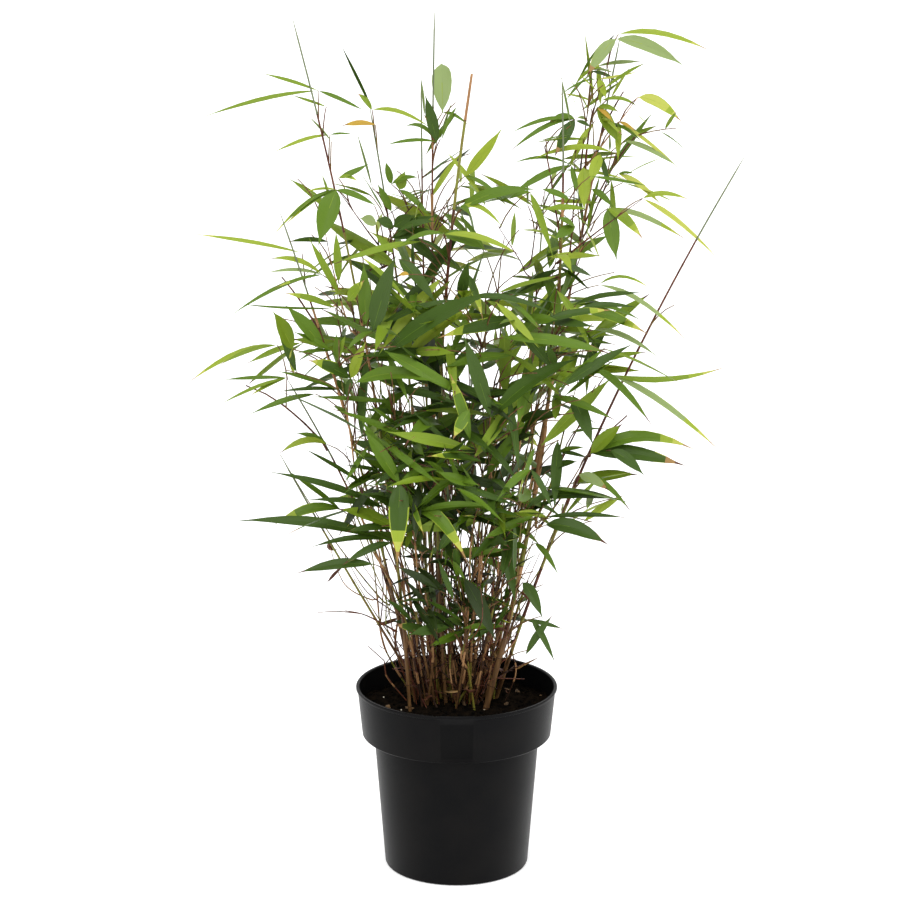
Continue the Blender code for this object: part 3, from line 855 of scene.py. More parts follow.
def grow_shoot(places, radius, colour):
    """Rolls one shoot that thins to its tip, with a ring at each node."""
    line = smooth_line(places, CANE_STEP)
    last = len(line) - 1
    thin = SHOOT_RADII[1]
    radii = [radius + (thin - radius) * number / last for number in range(last + 1)]
    slots = [RING if number % 6 == 5 else colour for number in range(last + 1)]
    roll_tube(shoot_mesh, line, radii, SHOOT_SIDES, slots)
    shoot_lines.append(line)


clump_lines = list(stems)
for line in clump_lines:
    for _ in range(shoot_chance.choice((1, 2, 2, 3, 4))):
        start = shoot_chance.choice(line)
        if not SHOOTS_FROM_Z < start.z < SHOOTS_TO_Z:
            continue
        along = (line[-1] - line[0]).normalized()
        outward = away_from(CLUMP_CENTRE, start)
        way = along + outward * shoot_chance.uniform(*SHOOT_SPREAD) + stray(shoot_chance, *SHOOT_STRAY)
        way.normalize()
        length = shoot_chance.uniform(*SHOOT_LENGTHS)
        middle = start + way * length * 0.5
        end = middle + (way + along * 0.5).normalized() * length * 0.5 + stray(shoot_chance, *SHOOT_END_STRAY)
        colour = shoot_chance.choice((TAN, PURPLE, GREEN, PURPLE, GREEN))
        if math.hypot(end.x - CLUMP_CENTRE.x, end.y - CLUMP_CENTRE.y) < SHOOTS_WITHIN:
            grow_shoot([start, middle, end], SHOOT_RADII[0], colour)
shoot_hosts = [place for line in clump_lines for place in line]
for tenths, colour, route in SET_SHOOTS:
    places = [Vector([value / 1000 for value in place]) for place in route]
    foot = min(shoot_hosts, key=lambda place: (place - places[0]).length)
    if (foot - places[0]).length > CANE_STEP:
        places.insert(0, foot)
    grow_shoot(places, tenths / 10000, colour)
    shoot_hosts += shoot_lines[-1]
stems += bough_lines + [line for line in shoot_lines if line[0].z > SHOOTS_LEAFY_FROM]
finish_cane("side_shoots", shoot_mesh, None)

# ------------------------------
# The foliage. A twig grows up and out from the nearest stem and ends in a fan of narrow leaves. Each leaf
# is bent from a grid: a short stalk, a folded blade with a pale rib, and often a dry tip. The growth is
# seeded, and a leaf that would leave the crown's shape or close one of its gaps is not grown.
LEAF_OUTLINE = (  # from a blade's stalk to its point: the share of its length, and of its width there
    (0.00, 0.07), (0.03, 0.09), (0.08, 0.34), (0.16, 0.64), (0.28, 0.90), (0.42, 1.00), (0.56, 0.95),
    (0.69, 0.77), (0.80, 0.48), (0.89, 0.17), (1.00, 0.00),
)
LEAF_ROWS = len(LEAF_OUTLINE) - 1
LEAF_COLUMNS = (-1, -0.60, -0.03, 0.03, 0.60, 1)
MARGIN_COLUMNS = (-1, -0.86, -0.03, 0.03, 0.86, 1)
FOLD = math.radians(13)
FOLD_RANGE = (0.4, 1.6)
ROLLED_FOLD = math.radians(60)
TWIST = 0.4
ROLLED_WIDTHS = {"rolled": 0.006, "spear": 0.0045}  # a young leaf, still rolled up
RIB_SHARE = 0.5
RIPPLE = 0.10
TOP_SLIM = 0.7  # the young leaves at the top are narrower
TOP_FROM_Z = 0.60
NARROW_SLIM = 0.78
NARROW_WIDTH = 0.01
UP = Vector((0, 0, 1))
DOWN = -UP
TWIG_RADII = (0.00075, 0.00045)
TWIG_SIDES = 5
TWIG_STEP = 0.010
TWIGS_FROM_Z = 0.19
TWIG_REACHES = (0.02, 0.06)
LONGEST_TWIG = 0.11
FAN_SIZES = (3, 4, 4, 5, 5, 6)
FAN_SPACING = 0.006
SPRAY_SUNK = 0.003  # a spray starts this far within the limit that its leaves may reach
ROOM_AT_TIP = 0.010
ROOM_AT_MIDDLE = 0.004
PAST_BOX = 0.004
SLIGHT_SAG = (0.0, 0.3)
SLIGHT_SHARE = 0.85
DEEP_SAG = (0.3, 0.6)
LENGTH_RANGE = (0.7, 1.2)
WIDTH_SHARE = (0.10, 0.17)
FACE_STRAY = (0.35, 0.35, 0.35)
HEADING_STRAY = (0.35, 0.35, 0)
LEAF_STRAY = (0.18, 0.18, 0.18)
PLACES_TESTED = 7  # along each leaf, for whether it would close a gap or hide what stands in front
TRIES = 8
SPOTS_TRIED = 84
GROWTH_SEED = 300
LEAF_COLOURS = {
    "dark": (39, 54, 16),
    "deep": (57, 81, 20),
    "mid": (84, 112, 24),
    "light": (113, 136, 33),
    "fresh": (138, 156, 45),
    "pale": (132, 150, 92),
    "lime": (170, 176, 76),
    "gold": (176, 142, 52),
    "straw": (150, 118, 72),
    "brown": (86, 52, 36),
}
LEAF_SLOTS = {name: number for number, name in enumerate(LEAF_COLOURS)}
RIB_OF = {"dark": "deep", "deep": "mid", "mid": "light", "light": "fresh", "fresh": "light", "pale": "fresh",
          "lime": "fresh", "gold": "straw", "straw": "gold", "brown": "straw"}
SHADES = ("dark", "deep", "mid", "light", "fresh")
SAME_SHADE_SHARE = 0.6  # of a spray's leaves, before the rest turn a shade lighter or darker
WEAR = {  # what shows on a worn blade, from its point back, a row at a time: at the edges, and between them
    "dry": (("brown", "brown"), ("straw", None)),
    "withered": (("brown", "brown"), ("straw", "straw"), ("lime", None)),
    "gold": (("straw", "straw"), ("gold", "lime"), ("lime", "fresh"), ("fresh", None), ("fresh", None)),
}
# Where a mix is dealt out says how light falls as well as how old the leaves are. The bright mix at the top
# and outside is partly young leaves and partly painted light shining through them. The heart and shade mixes
# inside and low down are partly older leaves and partly painted shade, and the hem mix of the lowest front
# leaves, with its dark greens, is painted shade.
MIXES = {  # how many sprays in a hundred take each colour
    "bright": {"fresh": 34, "light": 30, "mid": 20, "lime": 7, "pale": 6, "deep": 3},
    "middle": {"mid": 38, "light": 26, "fresh": 12, "deep": 18, "pale": 4, "lime": 2},
    "heart": {"mid": 46, "light": 20, "deep": 30, "fresh": 4},
    "shade": {"deep": 46, "mid": 38, "dark": 11, "light": 5},
    "hem": {"deep": 50, "dark": 45, "mid": 5},
}
WEAR_MIX = {None: 54, "dry": 34, "withered": 6, "gold": 6}
Mass = namedtuple("Mass", "sprays length mix spill", defaults=(0, 0.070, "middle", 0.0))
MASSES = {  # sprays in each part, their leaves' length, their mix, and how far they spill past its solid
    "left_tip": Mass(),
    "left_second": Mass(),
    "centre_tip": Mass(1, 0.055),
    "left_shoulder": Mass(3, 0.060),
    "crown_left": Mass(11, 0.070, "middle", 0.006),
    "crown_centre": Mass(9, 0.070, "middle", 0.004),
    "left_far": Mass(),
    "left_high": Mass(1),
    "tower_tip": Mass(),
    "tower": Mass(8, 0.045, "bright", 0.002),
    "tower_inner": Mass(1, 0.050),
    "tower_outer": Mass(1, 0.050, "bright"),
    "right_shoulder": Mass(8, 0.065, "middle", 0.004),
    "right_long": Mass(),
    "crown_right": Mass(8, 0.070, "middle", 0.006),
    "left_wing": Mass(),
    "left_middle": Mass(6),
    "heart_left": Mass(29, 0.085, "heart", 0.012),
    "heart_centre": Mass(22, 0.085, "heart", 0.012),
    "heart_right": Mass(22, 0.082, "heart", 0.012),
    "right_high": Mass(1, 0.080),
    "right_wing": Mass(),
    "right_fan": Mass(),
    "left_skirt": Mass(),
    "left_hem": Mass(),
    "front_left": Mass(29, 0.080, "shade", 0.012),
    "front_right": Mass(28, 0.080, "shade", 0.014),
    "right_skirt": Mass(7, 0.065),
    "right_hem": Mass(3, 0.055, "shade"),
    "front_hem": Mass(28, 0.052, "hem", 0.014),
    "back_high": Mass(14, 0.075, "middle", 0.008),
    "back_left": Mass(15, 0.080, "middle", 0.008),
    "back_right": Mass(16, 0.080, "middle", 0.008),
    "back_low": Mass(20, 0.075, "shade", 0.008),
}
SKY_GAPS = (  # where the crown is open right through: x and z on the pot's axis, and radius, in millimetres
    (-92, 623, 18), (-155, 624, 24), (-168, 556, 18), (-4, 646, 10), (32, 615, 18), (40, 565, 12),
    (-82, 556, 7), (25, 510, 10), (33, 472, 10), (67, 494, 8), (-52, 446, 8), (-31, 450, 8),
    (-128, 414, 24), (-122, 376, 18), (103, 418, 6), (26, 326, 8), (-75, 335, 6), (167, 578, 24),
    (53, 668, 18), (-78, 680, 16), (179, 621, 16), (-94, 388, 11), (28, 554, 9), (65, 587, 7),
    (130, 561, 13), (55, 475, 6), (-111, 513, 6), (-179, 538, 13), (152, 639, 10), (143, 448, 13),
    (192, 419, 13), (-19, 635, 7), (107, 454, 5), (102, 372, 5), (-60, 483, 6), (-180, 604, 16),
    (191, 510, 20), (214, 559, 16), (-37, 652, 8), (-27, 633, 6), (27, 666, 10), (-127, 450, 7),
    (-125, 304, 9), (-96, 656, 5),
)
sky_gaps = [[value / 1000 for value in gap] for gap in SKY_GAPS]
KEPT_CANES = (  # the canes that stand clear of the leaves at the front, and between which heights
    ("cane_right_main", 0.36, 0.46), ("cane_right_shoot", 0.20, 0.62), ("cane_broken", 0.58, 0.78),
    ("cane_left_tall", 0.46, 0.62), ("cane_left_second", 0.56, 0.72), ("cane_left_high", 0.44, 0.60),
    ("cane_centre", 0.60, 0.74),
)
KEPT_MARGIN = 0.005  # how far the strip that is kept free reaches past such a cane, or past a set leaf
WIDEST_STRIP = 0.016
SHOWY_WIDTH = 0.012  # a set leaf wider than this is kept in view
SHOWY_FACE = Vector((0, -1.0, 0.9))
TIP_BEYOND = 1.05  # a leaf is drawn out this far, as the last of its tip is too fine to see
Leaf = namedtuple("Leaf", "tip width arch look")
SHOWY_LEAVES = {  # by mass, each fan: its foot, then its leaves' tip, width, arch and look, in millimetres
    "left_tip": (
        [(-122, -46, 738), (-222, -48, 715, 6, 4, "light"), (-171, -45, 753, 5, 1, "light_dry"),
         (-83, -30, 719, 6, 1)],
        [(-115, -45, 724), (-145, -45, 734, 4, 0, "light_dry")],
        [(-112, -43, 699), (-162, -45, 683, 5.5, 3, "fresh"), (-91, -35, 698, 3.5, 1, "mid_dry")],
        [(-111, -43, 693), (-131, -45, 716, 3, 0, "pale_spear")],
    ),
    "left_second": (
        [(-77, 34, 712), (-105, 38, 771, 6, 0, "deep_rolled"), (-90, 30, 727, 8, 2, "light_withered"),
         (-25, 15, 698, 7, 6, "fresh")],
        [(-74, 30, 699), (-104, 20, 699, 8, 2, "gold_withered")],
        [(-77, 20, 643), (-91, 20, 695, 3, 0, "pale_spear")],
    ),
    "centre_tip": (
        [(-29, 0, 711), (-32, 0, 744, 3, 0, "pale_spear")],
        [(-15, 20, 687), (-4, 20, 722, 3, 0, "pale_spear")],
        [(-13, 14, 712), (-14, 45, 751, 19, 10, "pale"), (10, 0, 702, 5, 3)],
        [(-18, 10, 686), (-28, 0, 728, 11, 0, "deep"), (-47, 15, 698, 6, 8), (-64, 0, 684, 5, 3)],
        [(7, -20, 659), (39, -30, 702, 11, -2, "fresh"), (41, -35, 639, 6, 4)],
    ),
    "left_shoulder": (
        [(-105, -40, 660), (-88, -40, 657, 5, 3, "light_gold"), (-79, -35, 672, 8, -1)],
        [(-107, -42, 650), (-135, -45, 648, 4, 2, "fresh_withered"), (-166, -50, 605, 6, 9, "mid_gold"),
         (-153, -50, 618, 6, 5, "mid_gold"), (-72, -45, 636, 9, 2), (-122, -60, 605, 20, 3)],
    ),
    "crown_left": (
        [(-59, 0, 649), (-64, -5, 670, 9, 0), (-35, -10, 656, 7, 3)],
        [(-53, -30, 611), (-20, -40, 621, 9, 3, "deep")],
        [(-72, -30, 617), (-86, -35, 623, 11, 1, "pale")],
        [(-57, -20, 613), (-72, -25, 620, 12, 1, "deep"), (-39, -25, 624, 12, 1, "deep")],
        [(-59, -5, 625), (-71, -10, 650, 10, 0)],
        [(-52, 0, 644), (-47, -5, 661, 11, 0, "light"), (-24, -15, 621, 8, 3)],
        [(-58, -20, 603), (-21, -30, 624, 11, 3, "deep"), (-20, -30, 610, 12, 2, "deep")],
        [(-57, -40, 593), (-73, -45, 611, 10, 0, "light")],
    ),
    "crown_centre": (
        [(-12, -35, 609), (24, -45, 597, 13, 3)],
        [(2, -30, 631), (67, -45, 650, 12, 6), (40, -45, 616, 7, 10, "fresh"), (12, -40, 626, 8, 4)],
    ),
    "left_far": (
        [(-138, -46, 594), (-234, -48, 611, 5.5, 2, "fresh_gold")],
    ),
    "left_high": (
        [(-120, -50, 575), (-166, -55, 589, 7, 7, "fresh_dry"), (-169, -55, 577, 5, 4, "pale_dry"),
         (-161, -60, 565, 4.5, 2, "mid_gold"), (-201, -60, 539, 5.5, 7)],
        [(-109, -50, 545), (-153, -60, 560, 9, 2, "light_gold"), (-195, -55, 550, 3.5, -2)],
        [(-105, -55, 559), (-130, -60, 608, 9, 0, "light")],
        [(-105, -55, 569), (-107, -60, 615, 10, 0, "light")],
    ),
    "tower_tip": (
        [(145, 24, 781), (225, 12, 767, 8, 8, "fresh_gold")],
        [(143, 22, 777), (201, 12, 755, 13, 5, "pale"), (117, 10, 745, 12, 4, "pale_withered")],
    ),
    "tower": (
        [(124, 30, 714), (115, 30, 784, 5, 0, "fresh_rolled")],
        [(127, 15, 742), (134, 10, 725, 9, 1, "fresh"), (163, 15, 749, 3.5, -1, "lime"),
         (91, 10, 726, 3.5, 4, "mid_dry")],
        [(127, 20, 716), (145, 10, 713, 8, 2, "light_dry"), (145, 0, 686, 12, 2, "light"),
         (140, 0, 705, 6, 1, "gold")],
        [(146, 12, 704), (161, 5, 696, 5, 1, "gold_withered"), (200, 0, 663, 5, 2, "lime"),
         (145, 0, 670, 8, 1, "fresh")],
    ),
    "tower_inner": (
        [(102, 0, 702), (93, 0, 746, 3, 0, "pale_spear")],
        [(106, 4, 707), (81, 0, 702, 9, 5, "mid_withered"), (48, -8, 695, 6, 6),
         (48, -10, 679, 7, 7, "mid_dry"), (88, -10, 676, 11, 2, "deep_withered")],
        [(120, 8, 700), (106, 0, 706, 6, 1, "deep"), (107, 0, 684, 5, 0, "fresh_gold")],
        [(140, 6, 677), (69, -10, 672, 8, 8, "fresh")],
    ),
    "tower_outer": (
        [(163, 10, 726), (200, 0, 706, 12, 5, "lime_gold")],
        [(151, 12, 687), (197, -4, 666, 8, 3, "pale")],
        [(146, 10, 657), (183, -10, 632, 8, 4, "lime"), (160, 5, 658, 4, 1)],
    ),
    "right_shoulder": (
        [(103, 0, 666), (50, -10, 668, 4.5, 7), (48, -20, 641, 9, 4), (108, -20, 643, 7, 0)],
        [(114, -4, 665), (114, -20, 629, 12.5, 2, "fresh")],
        [(129, 0, 676), (119, -20, 653, 11, 1, "fresh"), (137, -10, 648, 7, 0, "deep")],
    ),
    "right_long": (
        [(166, -20, 639), (233, -40, 587, 8, 5, "lime"), (206, -30, 639, 8, 5, "fresh_gold")],
    ),
    "crown_right": (
        [(64, 0, 630), (63, 0, 656, 3, 0, "pale_spear")],
        [(121, -10, 646), (140, -20, 631, 9, 2)],
        [(135, -20, 630), (142, -45, 589, 15, 1), (204, -30, 603, 8, 6, "pale_gold"),
         (165, -40, 606, 11, 4, "light_gold")],
        [(65, -30, 646), (85, -50, 592, 9, 3, "light"), (46, -35, 640, 6, 2)],
        [(115, -30, 631), (73, -45, 632, 8, 2, "light")],
        [(101, -20, 638), (75, -30, 649, 9, 1)],
        [(105, -40, 617), (87, -50, 607, 11, 1), (89, -50, 626, 9, 1)],
    ),
    "left_wing": (
        [(-163, -20, 505), (-244, -20, 469, 7, 9, "fresh_gold"), (-215, -30, 488, 6, 4, "light_dry")],
        [(-149, -30, 504), (-148, -30, 479, 8, 0, "lime_gold")],
        [(-154, -30, 477), (-212, -30, 475, 5.5, 1), (-187, -35, 461, 6, 2, "light_gold"),
         (-214, -40, 454, 5, 3, "light")],
        [(-106, -40, 468), (-162, -45, 486, 7, 2), (-161, -45, 467, 6, 2, "deep_dry")],
        [(-128, -35, 463), (-187, -40, 445, 8, 3)],
    ),
    "left_middle": (
        [(-147, -50, 507), (-163, -65, 544, 16, 1, "light")],
        [(-119, -55, 510), (-151, -65, 549, 14, 1)],
        [(-112, -55, 507), (-145, -65, 526, 9, 1), (-144, -60, 506, 5, 1)],
        [(-107, -60, 500), (-107, -70, 525, 9, 0), (-99, -70, 524, 8, 0, "light")],
        [(-80, -60, 420), (-101, -65, 388, 7, 0)],
        [(-65, -60, 396), (-101, -65, 404, 6, 1, "deep")],
        [(-84, -45, 381), (-138, -55, 417, 6, 1, "deep")],
        [(-50, -60, 460), (-131, -65, 467, 7, 1)],
        [(-108, -50, 480), (-96, -55, 463, 10, 0, "deep")],
        [(-95, -65, 484), (-131, -75, 502, 13, 2, "deep_gold"), (-81, -85, 520, 12, 0, "fresh"),
         (-98, -75, 469, 9, 0, "deep")],
    ),
    "heart_left": (
        [(-75, -75, 528), (-54, -105, 599, 19, 2, "deep"), (2, -90, 559, 9, 7, "deep"),
         (-98, -90, 513, 7, 4)],
        [(-63, -80, 510), (26, -110, 568, 19, 6, "deep"), (-42, -100, 467, 8, 3)],
        [(-90, -85, 484), (-16, -112, 489, 15, 9)],
        [(-97, -70, 555), (-82, -80, 575, 12, 0, "light_gold")],
        [(-81, -70, 534), (-82, -80, 590, 12, 0)],
        [(-32, -50, 605), (-107, -75, 589, 9, 3, "light_dry")],
        [(-42, -100, 584), (-51, -100, 583, 6, 1, "gold")],
        [(-52, -55, 590), (-19, -75, 554, 13, 3, "deep")],
        [(-22, -70, 417), (-111, -85, 460, 9, 4, "mid_dry")],
        [(-60, -80, 476), (2, -95, 466, 10, 4, "deep")],
        [(-3, -85, 424), (-38, -95, 459, 6, 1, "deep")],
        [(-50, -60, 440), (-69, -70, 473, 7, 0)],
    ),
    "heart_centre": (
        [(-11, -40, 610), (55, -60, 594, 9, 6, "fresh_dry"), (-50, -60, 603, 7, 5)],
        [(3, -60, 554), (10, -80, 592, 11, 0, "deep"), (85, -85, 545, 8, 9, "deep")],
        [(30, -85, 453), (6, -110, 530, 14, 2, "deep"), (103, -105, 508, 16, 8, "deep")],
    ),
    "heart_right": (
        [(26, -50, 552), (72, -85, 517, 9, 5, "light")],
        [(89, -50, 561), (120, -70, 509, 9, 5, "light")],
        [(83, -60, 467), (140, -75, 448, 10, 3, "mid_dry")],
        [(104, -50, 465), (121, -75, 427, 15, 1, "deep")],
    ),
    "right_high": (
        [(109, -60, 546), (158, -65, 548, 9, 3, "deep"), (167, -70, 526, 11, 4, "mid_gold")],
        [(127, -35, 563), (206, -45, 513, 7, 10, "pale_gold"), (173, -40, 559, 4.5, 10, "light_gold")],
    ),
    "right_wing": (
        [(118, -45, 491), (169, -55, 505, 9, 3, "light_dry"), (174, -60, 440, 10, 9, "mid_dry")],
        [(137, -42, 483), (241, -40, 490, 9, -9, "light_gold"), (236, -50, 414, 9, 8, "pale_gold")],
        [(122, -40, 523), (179, -50, 500, 7, 7, "pale")],
        [(89, -40, 512), (142, -50, 511, 8, 3, "mid_dry")],
    ),
    "right_fan": (
        [(121, -45, 410), (148, -55, 439, 13, 1, "light_dry"), (212, -45, 413, 14, 14, "mid_gold"),
         (204, -50, 400, 16, 5, "deep_withered")],
        [(139, -50, 414), (168, -60, 394, 12, 3, "deep")],
    ),
    "left_skirt": (
        [(-119, -10, 410), (-162, -20, 403, 9, 8, "fresh_dry"), (-147, -10, 420, 7, 3)],
        [(-107, -30, 354), (-153, -40, 392, 7, 1), (-165, -45, 343, 11, 7, "mid_gold")],
        [(-111, -40, 453), (-94, -50, 444, 6, 1, "mid_withered")],
    ),
    "left_hem": (
        [(-66, -40, 358), (-168, -50, 393, 9, 5, "deep"), (-134, -55, 369, 8, 3, "deep")],
        [(-56, -50, 341), (-107, -60, 361, 13, 4, "light_dry"), (-100, -60, 340, 10, 3, "deep_dry")],
        [(-59, -45, 326), (-103, -55, 308, 10, 4, "deep_dry")],
        [(-65, -45, 329), (-197, -50, 347, 11, 8, "deep"), (-132, -55, 324, 8, 5, "deep")],
        [(-76, -50, 307), (-144, -55, 300, 11, 4, "deep_dry")],
    ),
    "front_left": (
        [(-51, -85, 392), (-53, -112, 328, 19, 7, "deep_gold"), (-82, -100, 445, 13, 0),
         (-18, -100, 408, 9, 5)],
        [(-52, -80, 390), (-85, -90, 452, 11, 1)],
        [(-36, -80, 365), (8, -110, 327, 13, 14, "mid_gold"), (-68, -90, 360, 7, 4, "deep")],
    ),
    "front_right": (
        [(-22, -80, 362), (33, -100, 371, 9, 7)],
        [(-9, -85, 396), (19, -105, 395, 10, 3), (-28, -100, 416, 8, 3)],
        [(66, -85, 405), (36, -105, 382, 10, 4), (85, -105, 373, 8, 3, "deep")],
        [(18, -90, 393), (-18, -110, 410, 11, -2)],
        [(11, -100, 463), (-3, -115, 441, 11, 1, "mid_gold")],
        [(-34, -85, 366), (32, -100, 374, 8, 5)],
    ),
    "right_skirt": (
        [(111, -40, 389), (158, -45, 355, 8, 9, "mid_dry"), (137, -50, 377, 12, 2, "pale_withered")],
        [(92, -30, 419), (89, -40, 358, 11, 1, "deep")],
        [(56, -40, 439), (96, -50, 447, 12, 2, "deep")],
        [(88, -30, 393), (109, -40, 401, 10, 1, "deep")],
        [(93, -25, 407), (120, -30, 402, 6, 1, "deep"), (116, -30, 412, 6, 1)],
        [(76, -30, 365), (147, -35, 364, 12, 4, "deep_dry")],
        [(81, -30, 346), (154, -40, 348, 7, 3, "deep_dry")],
        [(81, -35, 340), (136, -50, 326, 16, 6, "deep_dry")],
    ),
    "right_hem": (
        [(72, -20, 319), (93, -35, 293, 8, 4)],
        [(61, -20, 281), (79, -30, 250, 12, 4, "deep")],
        [(69, -25, 247), (91, -30, 207, 9, 3, "deep")],
        [(49, -30, 320), (65, -40, 319, 9, 1)],
    ),
    # painted shade: these low front leaves under the crown take the deep and dark greens
    "front_hem": (
        [(-41, -35, 247), (-66, -50, 273, 7, 3, "deep")],
        [(-7, -50, 247), (-43, -60, 243, 11, 1, "deep")],
        [(7, -40, 290), (35, -60, 238, 15, 3, "dark"), (-9, -60, 314, 8, 3)],
    ),
}


def set_leaf(x, y, z, width, arch, look="mid"):
    return Leaf(Vector((x, y, z)) / 1000, width / 1000, arch / 1000, look)


showy_fans = {
    mass: [(Vector(foot) / 1000, [set_leaf(*leaf) for leaf in leaves]) for foot, *leaves in fans]
    for mass, fans in SHOWY_LEAVES.items()
}


def build_veins():
    """Veins: fine lines along a blade, from its UV map, as a height for a bump."""
    effect, given, result = new_effect(
        "leaf_veins", [("Vector", "Vector", (0, 0, 0)), ("Lines across", "Float", 9.0)], [("Height", "Float")]
    )
    split = add_node(effect, "SeparateXYZ")
    scaled = add_node(effect, "Math")
    scaled.operation = "MULTIPLY"
    wave = add_node(effect, "Math")
    wave.operation = "PINGPONG"
    wave.inputs[1].default_value = 0.5
    wire(
        effect,
        (given, "Vector", split, "Vector"),
        (split, "Y", scaled, 0),
        (given, "Lines across", scaled, 1),
        (scaled, "Value", wave, 0),
        (wave, "Value", result, "Height"),
    )
    return effect


veins = build_veins()


def leaf_finish(name, colour):
    finish, shader = new_finish(f"leaf_{name}", colour, 0.44, shine=0.22)
    place = add_node(finish.node_tree, "TexCoord")
    lines = add_node(finish.node_tree, "Group")
    lines.node_tree = veins
    wire(finish.node_tree, (place, "UV", lines, "Vector"))
    add_relief(finish, shader, lines, 0.00012)
    return finish


leaf_finishes = [leaf_finish(name, colour) for name, colour in LEAF_COLOURS.items()]
twig_finish = streaked_finish("twig_bark", (92, 50, 38), (120, 100, 52), 0.5)


def arc(start, bend, end, share):
    """The place at this share of a curve from start to end that leans toward bend."""
    return start.lerp(bend, share).lerp(bend.lerp(end, share), share)


def lay_blade(bm, foot, shoulder, tip, width, face, tint, wear=None, fold=FOLD, twist=0.0):
    """Bends one leaf from foot, over shoulder, to tip. face is the way that its upper side looks."""
    columns = MARGIN_COLUMNS if wear else LEAF_COLUMNS
    strips = len(columns) - 1
    sheet = lay_grid(bm, LEAF_ROWS, strips)
    frames = []
    for share, wide in LEAF_OUTLINE:
        spine = arc(foot, shoulder, tip, share)
        along = ((shoulder - foot) * (1 - share) + (tip - shoulder) * share).normalized()
        looks = Matrix.Rotation(twist * share, 3, along) @ face
        side = looks.cross(along).normalized()
        frames.append((share, spine, side, along.cross(side), wide * width / 2))
    for point, (row, column) in sheet.items():
        share, spine, side, rise, half = frames[row]
        out = columns[column] * half
        ripple = RIPPLE * half * columns[column] * math.sin(share * 9 + column)
        point.co = spine + side * out * math.cos(fold) + rise * (abs(out) * math.sin(fold) + ripple)
    worn = WEAR[wear] if wear else ()
    for blade_face in faces_of(sheet):
        row = min(sheet[point][0] for point in blade_face.verts)
        column = min(sheet[point][1] for point in blade_face.verts)
        look = tint
        if column == strips // 2 and row < LEAF_ROWS * RIB_SHARE:
            look = RIB_OF[tint]
        rows_back = LEAF_ROWS - 1 - row
        if rows_back < len(worn):
            look = worn[rows_back][column not in (0, strips - 1)] or look
        blade_face.material_index = LEAF_SLOTS[look]
        blade_face.smooth = True


def tree_of(places):
    """A search tree of these places, for the nearest one."""
    tree = KDTree(len(places))
    for number, place in enumerate(places):
        tree.insert(place, number)
    tree.balance()
    return tree


mass_tree = {}
joined = bmesh.new()
for name in MASSES:
    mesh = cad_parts[f"leaves_{name}"].data
    joined.from_mesh(mesh)
    mass_tree[name] = BVHTree.FromPolygons([v.co for v in mesh.vertices], [p.vertices for p in mesh.polygons])
crown_tree = BVHTree.FromBMesh(joined)
joined.free()


def outside(tree, place):
    """How far a place lies outside a closed shape. Inside, it is less than zero."""
    nearest, normal, _, distance = tree.find_nearest(place)
    return distance if (place - nearest).dot(normal) > 0 else -distance


stem_tree = tree_of([place for line in stems for place in line if place.z > TWIGS_FROM_Z])
crown_axis = Vector((0.0, 0.015, 0))
SIDEWAYS = 1.5  # the crown is this much wider than deep


def stem_near(fan, outward, reach):
    """The place on a stem where a twig to this fan would start, below it and nearer the crown's middle."""
    wanted = fan - outward * reach * 0.45 - UP * reach * 0.8
    found, _, _ = stem_tree.find(wanted)
    return found.copy() if found.z < fan.z else None


def grow_twig(bm, foot, fan, chance):
    """Rolls a thin twig from a stem to the foot of a fan. It leaves the stem steeply and bends out."""
    rise = Vector((foot.x, foot.y, foot.z + (fan.z - foot.z) * 0.55))
    bend = rise.lerp(fan, 0.35)
    steps = max(3, round((fan - foot).length / TWIG_STEP))
    points = [arc(foot, bend, fan, step / steps) for step in range(steps + 1)]
    radii = [TWIG_RADII[0] + (TWIG_RADII[1] - TWIG_RADII[0]) * step / steps for step in range(steps + 1)]
    roll_tube(bm, points, radii, TWIG_SIDES, [0] * (steps + 1))
    return (fan - bend).normalized()


def side_of(heading):
    side = heading.cross(UP)
    return side.normalized() if side.length > 0.1 else Vector((1, 0, 0))


def seen_from_front(place):
    """Where the line of sight to a place crosses the upright plane through the pot's axis, as x and z."""
    eye = Vector(CAMERA_PLACE)
    crossing = eye + (place - eye) * (-eye.y / (place.y - eye.y))
    return crossing.x, crossing.z


def in_gap(place):
    x, z = seen_from_front(place)
    return any(math.hypot(x - gap_x, z - gap_z) < radius for gap_x, gap_z, radius in sky_gaps)


def mark_kept(places, radius):
    """Keeps a strip along the places free of leaves that would grow in front of it."""
    for place in places:
        x, z = seen_from_front(place)
        kept_strips.append((Vector((x, 0, z)), radius, place.y))


def hides_kept(place):
    """Whether a leaf at this place would stand in front of a strip that is kept in view."""
    x, z = seen_from_front(place)
    return any(
        distance < kept_strips[number][1] and place.y < kept_strips[number][2]
        for _, number, distance in strip_tree.find_range(Vector((x, 0, z)), WIDEST_STRIP)
    )


def choose(mix, chance):
    return chance.choices(list(mix), weights=list(mix.values()))[0]


def leaf_face(way, outward, chance):
    """The way a leaf's upper side looks: up and out, and never along the leaf."""
    face = UP * chance.uniform(0.3, 1.0) + outward * chance.uniform(0.0, 1.0) + stray(chance, *FACE_STRAY)
    face -= way * face.dot(way)
    return face.normalized() if face.length > 0.25 else UP + side_of(way) * 0.3


